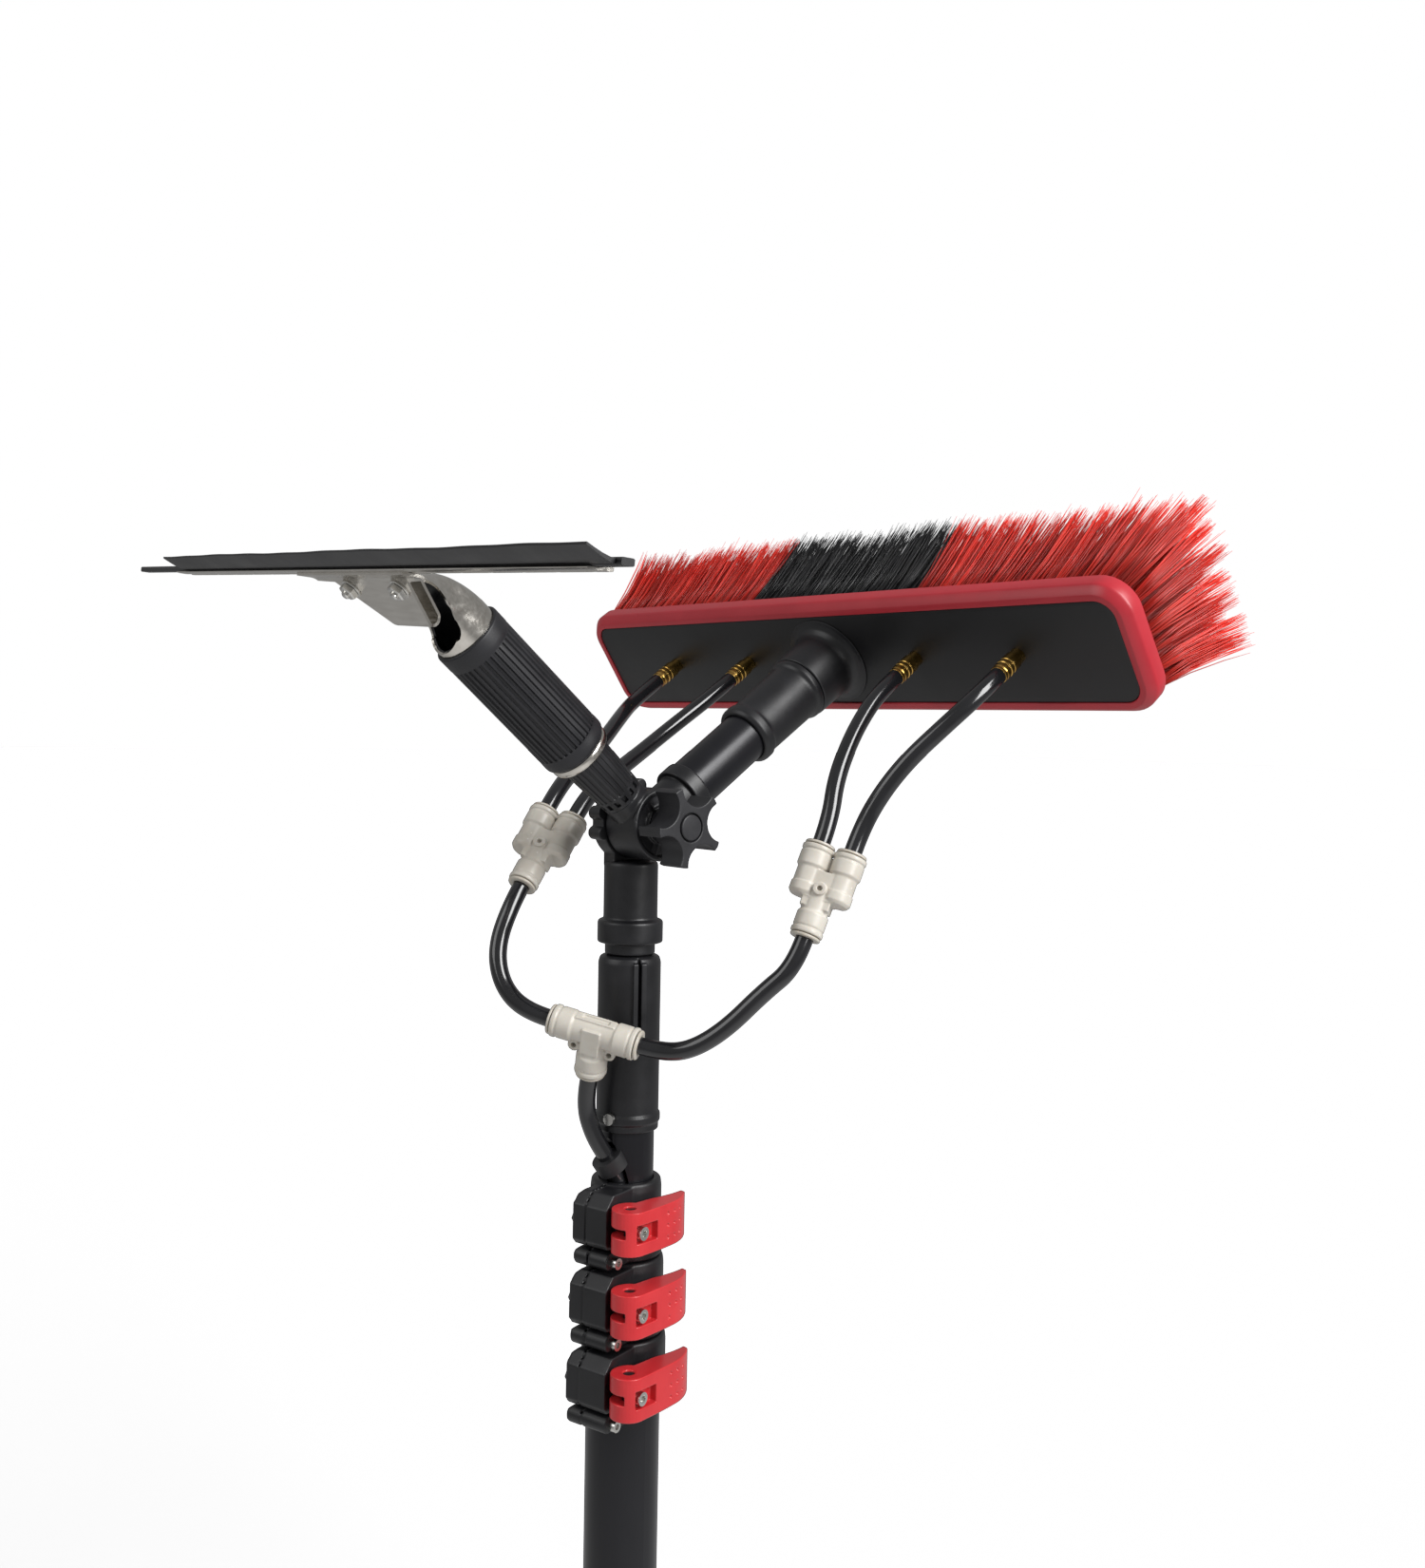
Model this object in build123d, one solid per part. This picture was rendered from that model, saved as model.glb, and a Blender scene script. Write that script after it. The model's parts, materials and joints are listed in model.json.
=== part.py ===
"""Telescopic water-fed window cleaning pole with a brush arm, a squeegee arm and a push-fit hose harness.

Millimetres. +Z runs up the pole and the origin is on the pole axis at the middle of the hand grip zone.
Everything above the pole is drawn about the tilt pivot and lifted by PIVOT_Z when it is written.
+X is the axis of the star knob, the brush arm leans towards +Y and the squeegee arm towards -Y.
"""
from math import cos, radians, sin, tan
import os

from build123d import *

# ---------------------------------------------------------------- driving dimensions
TUBE_OD = [35.0, 31.8, 28.6, 25.4]      # outer tube first, top tube last
TUBE_WALL = 1.25
TUBE_LENGTH = 800.0
GRIP_ZONE_LENGTH = 200.0                # hand or bracket zone at the foot of the outer tube
PIVOT_ABOVE_TUBE_END = 267.0            # tilt pivot above the top end of the outer tube
BOTTOM_Z = -GRIP_ZONE_LENGTH / 2
PIVOT_Z = BOTTOM_Z + TUBE_LENGTH + PIVOT_ABOVE_TUBE_END

CLAMP_PITCH = 37.0
CLAMP_HEIGHT = 36.6
TOP_CLAMP_FOOT = -205.0                 # foot of the top clamp, below the pivot
CLAMP_TURN = 12.7                       # clamp ears turned about the pole, degrees
CLAMP_WALL = 3.0
GRIP_GAP = 0.3                          # open gap between a clamp and the tube that slides in it
SEAT_LENGTH = 2 * CLAMP_PITCH - PIVOT_ABOVE_TUBE_END - TOP_CLAMP_FOOT
SEAT_STEP = 0.2                         # tube end turned down where its clamp is glued on
LEVER_OPEN = 100.0                      # lever travel, degrees

ARM_X = 12.0                            # both arms lie in one plane beside the pole axis
BRUSH_ANGLE = 34.3                      # brush arm above the horizontal, degrees
SQUEEGEE_ANGLE = 39.6                   # squeegee arm above the horizontal, degrees
SQUEEGEE_ROLL = -4.6                    # squeegee turned about its own handle, degrees

PLATE_L, PLATE_W = 361.0, 57.0          # black plate let into the brush block
BEVEL = 4.0
BLOCK_SIDE = 8.0
BRUSH_REACH = 142.7                     # pivot to the outer face of the brush plate
BRISTLE_LENGTH = 60.0
BRISTLE_SPLAY = 9.0
BLACK_HALF = 58.0                       # half length of the black bristle field
BARB_AT = [-120.0, -59.0, 59.0, 120.0]  # hose barbs along the brush plate
BARB_LENGTH = 16.5

HOSE_OD = 8.0
GROMMET_R = 5.8                         # hole for the feed hose in the top tube
PORT_BORE_R = 5.0                       # hose port in the foot cap
PORT_R = 7.4                            # body radius of the push-in fittings
TEE_HALF = 21.65
TEE_BRANCH = 23.0
WYE_LENGTH = 43.0
WYE_PITCH = 15.0

os.makedirs("parts", exist_ok=True)


# ---------------------------------------------------------------- helpers
def save(name, shape, lift=True):
    """Write one node, lifted from the pivot to its place on the pole."""
    placed = Pos(0, 0, PIVOT_Z) * shape if lift else shape
    export_step(placed, f"parts/{name}.step")


def ring(r_out, r_in, z_low, z_high):
    """Straight ring about Z."""
    height = z_high - z_low
    body = Pos(0, 0, z_low + height / 2) * Cylinder(r_out, height)
    return body - Pos(0, 0, z_low + height / 2) * Cylinder(r_in, height + 2)


def rod(r, z_low, z_high):
    return Pos(0, 0, (z_low + z_high) / 2) * Cylinder(r, z_high - z_low)


def block(x, y, z):
    """Box from three (low, high) pairs."""
    size = [pair[1] - pair[0] for pair in (x, y, z)]
    middle = [(pair[1] + pair[0]) / 2 for pair in (x, y, z)]
    return Pos(*middle) * Box(*size)


def turned(points):
    """Solid of revolution about Z from (radius, z) points."""
    face = make_face(Plane.XZ * Polyline(*points, close=True))
    return revolve(face, Axis.Z)


def axis_plane(origin, direction, side=(1, 0, 0)):
    """Plane whose local Z runs along direction."""
    return Plane(origin=origin, x_dir=side, z_dir=direction)


def hex_rod(across_flats, z_low, z_high):
    face = RegularPolygon(across_flats / 2, 6, major_radius=False)
    return Pos(0, 0, z_low) * extrude(face, z_high - z_low)


BRUSH_DIR = Vector(0, cos(radians(BRUSH_ANGLE)), sin(radians(BRUSH_ANGLE)))
SQUEEGEE_DIR = Vector(0, -cos(radians(SQUEEGEE_ANGLE)), sin(radians(SQUEEGEE_ANGLE)))
SQUEEGEE_UP = Vector(0, sin(radians(SQUEEGEE_ANGLE)), cos(radians(SQUEEGEE_ANGLE)))
BRUSH = axis_plane((ARM_X, 0, 0), BRUSH_DIR)
HANDLE = axis_plane((ARM_X, 0, 0), SQUEEGEE_DIR)
ROLL_X = Vector(1, 0, 0) * cos(radians(SQUEEGEE_ROLL)) + SQUEEGEE_UP * sin(radians(SQUEEGEE_ROLL))
SQUEEGEE = axis_plane((ARM_X, 0, 0), SQUEEGEE_DIR, ROLL_X)


# ---------------------------------------------------------------- telescopic tubes
def pole_tubes():
    outer_top = -PIVOT_ABOVE_TUBE_END
    tops = [outer_top, outer_top + CLAMP_PITCH, outer_top + 2 * CLAMP_PITCH, -66.0]
    names = ["outer_tube", "section_2_tube", "section_3_tube", "top_tube"]
    foot = BOTTOM_Z - PIVOT_Z
    for i, name in enumerate(names):
        low = foot + (0.0 if i == 0 else 12.0 + 18.0 * i)
        r = TUBE_OD[i] / 2
        tube = ring(r, r - TUBE_WALL, low, tops[i])
        if name == "top_tube":
            tube -= hose_hole(GROMMET_R, 30.0)
        else:
            tube -= ring(r + 1, r - SEAT_STEP, tops[i] - SEAT_LENGTH, tops[i] + 1)
        save(name, tube)
        if i > 0:
            glide_bush(i, low)


def glide_bush(i, low):
    """Plastic stop and glide on the foot of an inner tube."""
    outer_bore = TUBE_OD[i - 1] / 2 - TUBE_WALL
    skirt = ring(outer_bore - 0.06, TUBE_OD[i] / 2 - TUBE_WALL - 1.6, low - 5.0, low)
    spigot = ring(TUBE_OD[i] / 2 - TUBE_WALL, TUBE_OD[i] / 2 - TUBE_WALL - 1.6, low, low + 9.0)
    save(["", "section_2_glide", "section_3_glide", "top_glide"][i], skirt + spigot)


def end_cap():
    """Foot plug of the outer tube with the hose port through it."""
    plug_r = TUBE_OD[0] / 2 - TUBE_WALL
    rim_r = TUBE_OD[0] / 2 - 0.3
    foot = BOTTOM_Z - PIVOT_Z
    cap = turned([(PORT_BORE_R, foot - 12), (14.5, foot - 12), (rim_r, foot - 9), (rim_r, foot),
                  (plug_r, foot), (plug_r, foot + 6), (PORT_BORE_R, foot + 6)])
    save("foot_cap", cap)


# ---------------------------------------------------------------- flip-lock clamps
def clamp_sizes(i):
    """Ring radius, lever pin X and Y of clamp i, counted from the top."""
    r_out = TUBE_OD[2 - i] / 2 + CLAMP_WALL
    return r_out, r_out + 4.3, -(r_out + 6.5)


def place_clamp(shape, i):
    return Pos(0, 0, TOP_CLAMP_FOOT - CLAMP_PITCH * i) * Rot(0, 0, CLAMP_TURN) * shape


LEVER_LOW, LEVER_HIGH = 10.9, 31.0
LEVER_MID = (LEVER_LOW + LEVER_HIGH) / 2
ROOT_R = 8.5
EAR_BACK = -7.5                         # far face of the upper ears, where the draw bolt's nut sits
PIN_R = 2.6
DRAW_R = 1.5
PINCH_Z = 3.3
SLIT_LOW, SLIT_HIGH = 9.0, 10.4


def clamp_body(i):
    """Moulded clamp: pinch lug on the outer tube below, split grip ring and ears above."""
    r_out, pin_x, pin_y = clamp_sizes(i)
    r_tube = TUBE_OD[2 - i] / 2
    r_grip = TUBE_OD[3 - i] / 2 + GRIP_GAP
    near = pin_x - ROOT_R - 0.5
    body = rod(r_out, 0, CLAMP_HEIGHT)
    upper = block((EAR_BACK, near), (pin_y - 6.5, -r_out * 0.4), (SLIT_HIGH, CLAMP_HEIGHT - 1.2))
    lower = block((EAR_BACK - 0.8, near - 1.0), (pin_y - 5.0, -r_out * 0.4), (0, SLIT_LOW))
    upper = chamfer(upper.edges().filter_by(Axis.X).group_by(Axis.Y)[0], 2.5)
    lower = chamfer(lower.edges().filter_by(Axis.X).group_by(Axis.Y)[0], 2.0)
    body += upper + lower
    body -= block((-30, 30), (-60, r_out * 0.35), (SLIT_LOW, SLIT_HIGH))
    body -= rod(r_tube - SEAT_STEP, -1, SEAT_LENGTH)
    body -= rod(r_grip, SEAT_LENGTH - 1, CLAMP_HEIGHT + 1)
    body -= block((-1.5, 1.5), (-60, 0), (SLIT_HIGH - 1, CLAMP_HEIGHT + 1))
    body -= block((-0.8, 0.8), (-60, 0), (-1, SLIT_HIGH))
    along_x = Rot(0, 90, 0)
    body -= Pos(0, pin_y, LEVER_MID) * along_x * Cylinder(DRAW_R + 0.15, 80)
    body -= Pos(0, pin_y + 1.0, PINCH_Z) * along_x * Cylinder(1.6, 80)
    return body


def lever(i):
    """Red cam lever: round root on the pin, a thick arm past the tube that thins to its tip."""
    r_out, x0, y0 = clamp_sizes(i)
    outer_low, outer_far = (x0 + ROOT_R, y0), (x0 + 9.6, -5.0)
    tip_out, tip_in = (x0 + 4.6, 11.5), (x0 + 1.8, 12.2)
    inner_knee, root_in = (x0 - 1.6, -6.0), (x0 - 3.2, y0 + 7.87)
    outline = [
        ThreePointArc(outer_low, (x0 + 9.3, (y0 - 5.0) / 2), outer_far),
        ThreePointArc(outer_far, (x0 + 8.3, 4.2), tip_out),
        Line(tip_out, tip_in),
        ThreePointArc(tip_in, (x0 + 1.0, 3.0), inner_knee),
        Line(inner_knee, root_in),
        ThreePointArc(root_in, (x0 - ROOT_R, y0), (x0 - 3.2, y0 - 7.87)),
        ThreePointArc((x0 - 3.2, y0 - 7.87), (x0 + 6.0, y0 - 6.02), outer_low),
    ]
    arm = extrude(make_face(Curve() + outline), LEVER_HIGH - LEVER_LOW)
    arm = Pos(0, 0, LEVER_LOW) * arm
    arm -= Pos(x0, y0, LEVER_MID) * Cylinder(PIN_R + 0.06, 60)
    window = block((x0 + 5.4, x0 + 12), (y0 - 4.0, y0 + 9.0), (LEVER_MID - 4.2, LEVER_MID + 4.2))
    arm -= window
    arm -= bolt_slot(x0, y0)
    return arm


def bolt_slot(x0, y0):
    """Room in the lever root for the draw bolt as the lever opens."""
    half = DRAW_R + 0.5
    reach = 14.0
    steps = 10
    room = rod(half, -half, half)
    for k in range(steps + 1):
        room += Rot(0, 0, LEVER_OPEN * k / steps) * block((-reach, 0), (-half, half), (-half, half))
    return Pos(x0, y0, LEVER_MID) * room


def clamps():
    for i in range(3):
        r_out, x0, y0 = clamp_sizes(i)
        n = i + 1
        near = x0 - ROOT_R - 0.5
        save(f"clamp_{n}_body", place_clamp(clamp_body(i), i))
        save(f"clamp_{n}_lever", place_clamp(lever(i), i))
        pin = Pos(x0, y0, 0) * rod(PIN_R, LEVER_LOW + 0.6, LEVER_HIGH - 0.8)
        along_x = Plane(origin=(0, y0, LEVER_MID), x_dir=(0, 1, 0), z_dir=(1, 0, 0))
        draw = along_x * rod(DRAW_R, EAR_BACK, x0 + 1.2)
        bolt = draw + along_x * hex_rod(6.0, EAR_BACK - 2.8, EAR_BACK)
        pair = [place_clamp(pin - draw, i), place_clamp(bolt, i)]
        save(f"clamp_{n}_draw_bolt", Compound(children=pair))
        pinch_plane = Plane(origin=(0, y0 + 1.0, PINCH_Z), x_dir=(0, 1, 0), z_dir=(1, 0, 0))
        screw = rod(1.5, EAR_BACK + 1.0, near - 1.0) + rod(2.6, near - 1.0, near + 2.0)
        screw -= hex_rod(2.5, near + 0.6, near + 3.0)
        save(f"clamp_{n}_pinch_screw", place_clamp(pinch_plane * screw, i))
        adjuster = along_x * (rod(3.1, x0 + 5.4, x0 + 8.6) - hex_rod(3.0, x0 + 6.8, x0 + 9))
        save(f"clamp_{n}_adjuster_screw", place_clamp(adjuster, i))


# ---------------------------------------------------------------- socket, tilt joint and knob
EAR_R = 18.0
EAR_X = (-7.0, 1.0)
YOKE_X = (1.4, 23.4)
YOKE_R = 16.8
BOLT_R = 4.0


def along_x_plane(x):
    return Plane(origin=(x, 0, 0), x_dir=(0, 1, 0), z_dir=(1, 0, 0))


def stem():
    """Plug with a collar that carries the fixed ear of the tilt joint."""
    body = turned([(0, -70), (10.2, -70), (10.2, -62), (11.7, -62), (11.7, -56.4), (15.3, -56.4),
                   (15.3, -46.5), (14.0, -45), (12.55, -45), (12.55, -19.5), (11.8, -18.2), (0, -18.2)])
    ear = along_x_plane(EAR_X[0]) * rod(EAR_R, 0, EAR_X[1] - EAR_X[0])
    for k in range(12):
        a = radians(30.0 * k + 15.0)
        if sin(a) > -0.6:
            lobe = Pos(EAR_R * cos(a), EAR_R * sin(a), 0) * rod(3.2, 0, EAR_X[1] - EAR_X[0])
            ear += along_x_plane(EAR_X[0]) * lobe
    web = block((EAR_X[0], EAR_X[1]), (-11.0, 11.0), (-19.0, -8.0))
    body += ear + web
    return body - along_x_plane(-30) * rod(BOLT_R, 0, 60)


def yoke():
    """Tilting head piece with a stub for each arm."""
    width = YOKE_X[1] - YOKE_X[0]
    body = along_x_plane(YOKE_X[0]) * rod(YOKE_R, 0, width)
    keep = block(YOKE_X, (-60, 60), (-60, 60))
    body += BRUSH * rod(12.0, 0, 22.4) & keep
    body += HANDLE * rod(11.4, 0, 21.0) & keep
    body += BRUSH * (rod(13.6, 22.4, 30.0) + rod(11.2, 29.0, 48.0))
    body += HANDLE * rod(8.0, 20.0, 50.0)
    return body - along_x_plane(-30) * rod(BOLT_R + 0.1, 0, 90)


def knob_profile(r_core, r_tip, lobes):
    """Star outline: a core disc with tapering arms."""
    star = Circle(r_core)
    for k in range(lobes):
        arm = make_face(Polyline((0, -4.6), (r_tip, -2.0), (r_tip, 2.0), (0, 4.6), close=True))
        star += Rot(0, 0, 360.0 / lobes * k + 42.0) * arm
        star += Rot(0, 0, 360.0 / lobes * k + 42.0) * Pos(r_tip - 0.4, 0) * Circle(1.95)
    return star


def joint_parts():
    save("hub_stem", stem())
    save("hub_yoke", yoke())
    bolt = along_x_plane(0) * (rod(BOLT_R, EAR_X[0], 36.0) + rod(7.5, EAR_X[0] - 4.0, EAR_X[0]))
    bolt = bolt - along_x_plane(0) * hex_rod(6.0, EAR_X[0] - 4.1, EAR_X[0] - 1.5)
    save("hub_bolt", bolt)
    knob = along_x_plane(28.0) * extrude(knob_profile(9.4, 18.0, 5), 15.0)
    knob += along_x_plane(0) * rod(8.6, 24.0, 28.5)
    knob -= along_x_plane(0) * rod(BOLT_R + 0.05, 20.0, 37.0)
    knob -= along_x_plane(0) * rod(6.6, 41.0, 45.0)
    save("hub_knob", knob)
    save("hub_knob_cap", along_x_plane(0) * rod(6.0, 41.0, 43.4))
    socket = turned([(12.7, -145), (14.65, -145), (14.65, -141.5), (15.4, -141.0), (15.4, -137.5),
                     (14.65, -137.0), (14.65, -64.5), (13.6, -62.6), (10.2, -62.6), (10.2, -66.0),
                     (12.7, -66.0)])
    slit_side = Rot(0, 0, -20.0)
    socket += slit_side * block((13.0, 16.2), (-3.2, 3.2), (-98.0, -64.0))
    socket -= slit_side * block((12.0, 18.0), (-0.8, 0.8), (-99.0, -62.0))
    socket -= rod(12.7, -145, -66.0)
    screw_dir = Vector(0.35, -0.94, 0)
    screw_plane = axis_plane(screw_dir * 12.7 + Vector(0, 0, -138), screw_dir, (0, 0, 1))
    socket -= screw_plane * rod(1.4, -1.0, 6.0)
    save("pole_socket", socket)
    save("socket_screw", screw_plane * (rod(1.4, 0.0, 2.8) + rod(2.7, 2.8, 4.6)))


# ---------------------------------------------------------------- brush
def brush_parts():
    half_l, half_w = PLATE_L / 2, PLATE_W / 2
    outer_l, outer_w = half_l + BEVEL, half_w + BEVEL
    face_z = BRUSH_REACH
    sleeve = turned([(12.6, 72), (14.2, 72), (15.5, 74), (15.5, 78), (14.6, 80), (15.2, 112),
                     (16.6, 114), (16.6, 117), (12.6, 117)])
    save("brush_sleeve", BRUSH * sleeve)
    save("brush_arm_tube", BRUSH * ring(12.5, 11.2, 30.0, 117.0))
    neck = turned([(11.0, 100), (11.1, 100), (11.1, 117.2), (15.6, 117.2), (15.6, 131), (17.5, 137),
                   (22.0, 141), (24.0, face_z), (11.0, face_z)])
    save("brush_neck", BRUSH * neck)
    rim_low = Pos(0, 0, face_z) * RectangleRounded(2 * half_l, 2 * half_w, 12.0)
    rim_mid = Pos(0, 0, face_z + BEVEL) * RectangleRounded(2 * outer_l, 2 * outer_w, 15.0)
    rim = loft([rim_low, rim_mid])
    rim += Pos(0, 0, face_z + BEVEL) * extrude(RectangleRounded(2 * outer_l, 2 * outer_w, 15.0), BLOCK_SIDE)
    pocket = Pos(0, 0, face_z - 1) * extrude(RectangleRounded(2 * half_l - 0.6, 2 * half_w - 0.6, 11.7), 4.0)
    save("brush_block", BRUSH * (rim - pocket))
    plate = Pos(0, 0, face_z) * extrude(RectangleRounded(2 * half_l - 0.6, 2 * half_w - 0.6, 11.7), 3.0)
    save("brush_plate", BRUSH * plate)
    back = face_z + BEVEL + BLOCK_SIDE
    tip = back + BRISTLE_LENGTH
    fields = {"bristles_red_left": (-half_l + 2, -BLACK_HALF - 0.5),
              "bristles_black": (-BLACK_HALF, BLACK_HALF),
              "bristles_red_right": (BLACK_HALF + 0.5, half_l - 2)}
    for name, (low, high) in fields.items():
        low_tip = low - (BRISTLE_SPLAY if low < -BLACK_HALF - 1 else -0.1)
        high_tip = high + (BRISTLE_SPLAY if high > BLACK_HALF + 1 else -0.1)
        crown_width = PLATE_W + 2 * BRISTLE_SPLAY
        root = Pos((low + high) / 2, 0, back) * Rectangle(high - low, PLATE_W - 3)
        crown = Pos((low_tip + high_tip) / 2, 0, tip) * Rectangle(high_tip - low_tip, crown_width)
        save(name, BRUSH * loft([root, crown]))
    barbs = []
    for u in BARB_AT:
        shape = turned([(0, 0), (4.6, 0), (4.6, -5), (5.2, -5.4), (5.2, -8), (4.5, -8.4),
                        (4.5, -10.5), (5.1, -11), (5.1, -13.5), (4.4, -14), (4.4, -BARB_LENGTH),
                        (0, -BARB_LENGTH)])
        barbs.append(BRUSH * Pos(u, 0, face_z) * shape)
    save("brass_barbs", Compound(children=barbs))


# ---------------------------------------------------------------- squeegee
BLADE_DROP = 36.2                       # blade bent down from the handle axis, degrees
CHANNEL_LENGTH = 355.0
BEAD_ENDS = (-232.0, 194.0)             # rubber bead, slid along its channel
LIP_ENDS = (-168.0, 191.0)              # wiping lip, cut shorter than its bead
HANDLE_TUBE_R, HANDLE_TUBE_BORE = 14.4, 13.3
BRACKET_X = 3.0                         # bracket's middle, beside the handle axis
SHEET = 1.2


def squeegee_parts():
    cone = turned([(8.1, 21.2), (10.4, 21.2), (11.8, 51), (8.1, 51)])
    save("squeegee_cone", HANDLE * cone)
    end_ring = turned([(8.1, 51.1), (14.6, 51.1), (14.9, 52), (14.9, 54.2), (14.6, 55), (8.1, 55)])
    save("squeegee_ring", HANDLE * end_ring)
    grip_bore = HANDLE_TUBE_R + 0.1
    grip = turned([(grip_bore, 55.1), (15.4, 55.1), (15.9, 56), (15.9, 60.5), (15.3, 61), (15.3, 122.5),
                   (15.9, 123), (15.9, 129.5), (15.4, 130.5), (grip_bore, 130.5)])
    save("squeegee_grip", HANDLE * grip)
    tube = ring(HANDLE_TUBE_R, HANDLE_TUBE_BORE, 55.1, 150.0)
    tube -= yz_prism([(-16.0, 132.5), (-12.0, 134.5), (-9.0, 137.5), (-6.0, 141.5), (-4.0, 148.0),
                      (-3.0, 152.0), (-16.0, 152.0)], 40.0)
    save("squeegee_tube", SQUEEGEE * (tube + tongue()))
    bracket_parts()


def tongue():
    """Upper wall of the handle tube carried on as a flattened strip to the bracket."""
    path = [(13.8, 144.0), (13.4, 149.0), (10.0, 156.0), (1.0, 166.0), (-8.4, 173.0), (-8.4, 179.0)]
    return strip_solid(path, 20.0)


def strip_solid(path, width):
    """Bent strip of sheet with mitred folds from (up, along) points, centred on local X = 0."""
    points = [Vector(*p) for p in path]
    runs = [(q - p).normalized() for p, q in zip(points[:-1], points[1:])]
    normals = [Vector(-run.Y, run.X) for run in runs]
    sides = []
    for k, point in enumerate(points):
        before, after = normals[max(k - 1, 0)], normals[min(k, len(normals) - 1)]
        mitre = (before + after) * (SHEET / 2 / (1 + before.dot(after)))
        sides.append((point + mitre, point - mitre))
    outline = [left for left, _ in sides] + [right for _, right in reversed(sides)]
    return yz_prism([(p.X, p.Y) for p in outline], width)


def yz_prism(corners, width):
    """Prism along local X from (up, along) corners."""
    face = make_face(Plane.YZ * Polyline(*corners, close=True))
    return Pos(-width / 2, 0, 0) * extrude(face, width, dir=(1, 0, 0))


def bracket_parts():
    fold_s, bend_s = 151.0, 180.0
    front_v, back_v = -15.2, -9.6
    drop = radians(BLADE_DROP)
    h_s, h_v = cos(drop), -sin(drop)
    shift = (back_v - front_v) * tan(drop / 2)
    flange = 8.5
    front_end = (front_v + h_v * flange, bend_s + h_s * flange)
    back_end = (back_v + h_v * flange, bend_s + shift + h_s * flange)
    mid_v, gap = (front_v + back_v) / 2, (back_v - front_v) / 2
    bottom = [(mid_v + gap * cos(radians(a)), fold_s + 2 + gap * sin(radians(a))) for a in (-45, -90, -135)]
    path = [back_end, (back_v, bend_s + shift), (back_v, fold_s + 2)] + bottom
    path += [(front_v, fold_s + 2), (front_v, bend_s), front_end]
    lips, shoulder, foot = 94.0, 64.0, 29.0
    sheet = strip_solid(path, lips)
    for side in (-1, 1):
        clear_x = side * (lips / 2 + 10)
        corner = Polyline((side * foot / 2, fold_s - 6), (side * foot / 2, fold_s),
                          (side * shoulder / 2, bend_s - 2), (clear_x, bend_s - 2),
                          (clear_x, fold_s - 6), close=True)
        wedge = extrude(make_face(Plane.XZ * corner), 40, both=True)
        sheet -= wedge
    bolt_s, bolt_x = 174.0, 21.3
    plane = Plane(origin=(0, 0, bolt_s), x_dir=(1, 0, 0), z_dir=(0, -1, 0))
    for side in (-1, 1):
        sheet -= plane * Pos(side * bolt_x, 0, 0) * rod(2.1, 0, 40)
    save("squeegee_bracket", SQUEEGEE * Pos(BRACKET_X, 0, 0) * sheet)
    bolts = []
    for side in (-1, 1):
        shank = rod(2.0, -back_v - SHEET / 2 - 3.2, -front_v + SHEET / 2 + 0.4)
        head = hex_rod(7.0, -front_v + SHEET / 2, -front_v + SHEET / 2 + 3.4)
        nut = hex_rod(7.0, -back_v - SHEET / 2 - 3.2, -back_v - SHEET / 2)
        bolts.append(SQUEEGEE * plane * Pos(BRACKET_X + side * bolt_x, 0, 0) * (shank + head + nut))
    save("bracket_bolts", Compound(children=bolts))
    mid_s = bend_s + shift / 2
    origin = Vector(0, mid_v + h_v * 3.0, mid_s + h_s * 3.0)
    blade = Plane(origin=origin, x_dir=(1, 0, 0), z_dir=(0, h_v, h_s))
    half = (back_v - front_v) / 2 - SHEET / 2
    groove = block((-250, 250), (-1.3, 1.3), (4.0, 20))
    channel = block((-CHANNEL_LENGTH / 2, CHANNEL_LENGTH / 2), (-half, half), (0.0, 10.0)) - groove
    save("squeegee_channel", SQUEEGEE * blade * channel)
    bead = block(BEAD_ENDS, (-1.3, 1.3), (4.0, 9.0))
    lip_length = LIP_ENDS[1] - LIP_ENDS[0]
    lip = yz_prism([(-0.9, 8.0), (0.9, 8.0), (1.2, 12.0), (4.1, 20.0), (3.3, 20.0), (-0.6, 12.0)], lip_length)
    rubber = bead + Pos(sum(LIP_ENDS) / 2, 0, 0) * lip
    save("squeegee_rubber", SQUEEGEE * blade * rubber)


# ---------------------------------------------------------------- hose harness
TEE_CENTRE = Vector(15.0, -31.5, -93.5)
TEE_RUN = Vector(0.80, 0.555, -0.22).normalized()
TEE_DOWN = Vector(-0.38, 0.18, -0.907)
TEE_DOWN = (TEE_DOWN - TEE_RUN * TEE_DOWN.dot(TEE_RUN)).normalized()
LEFT_FOOT = Vector(-34.7, -38.4, -31.2)
LEFT_AXIS = Vector(-0.168, 0.632, 0.757).normalized()
RIGHT_FOOT = Vector(87.6, 28.6, -47.1)
RIGHT_AXIS = Vector(0.006, 0.441, 0.897).normalized()
WYE_SIDE = Vector(0.82, 0.50, -0.28)


def wye_frame(foot, axis):
    """Top port centres of a Y fitting and its sideways direction."""
    side = (WYE_SIDE - axis * WYE_SIDE.dot(axis)).normalized()
    top = foot + axis * WYE_LENGTH
    return top - side * (WYE_PITCH / 2), top + side * (WYE_PITCH / 2), side


LEFT_A, LEFT_B, LEFT_SIDE = wye_frame(LEFT_FOOT, LEFT_AXIS)
RIGHT_A, RIGHT_B, RIGHT_SIDE = wye_frame(RIGHT_FOOT, RIGHT_AXIS)
TEE_LEFT = TEE_CENTRE - TEE_RUN * TEE_HALF
TEE_RIGHT = TEE_CENTRE + TEE_RUN * TEE_HALF
TEE_FOOT = TEE_CENTRE + TEE_DOWN * TEE_BRANCH


def barb_end(u):
    return Vector(ARM_X + u, 0, 0) + BRUSH_DIR * (BRUSH_REACH - BARB_LENGTH)


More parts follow.
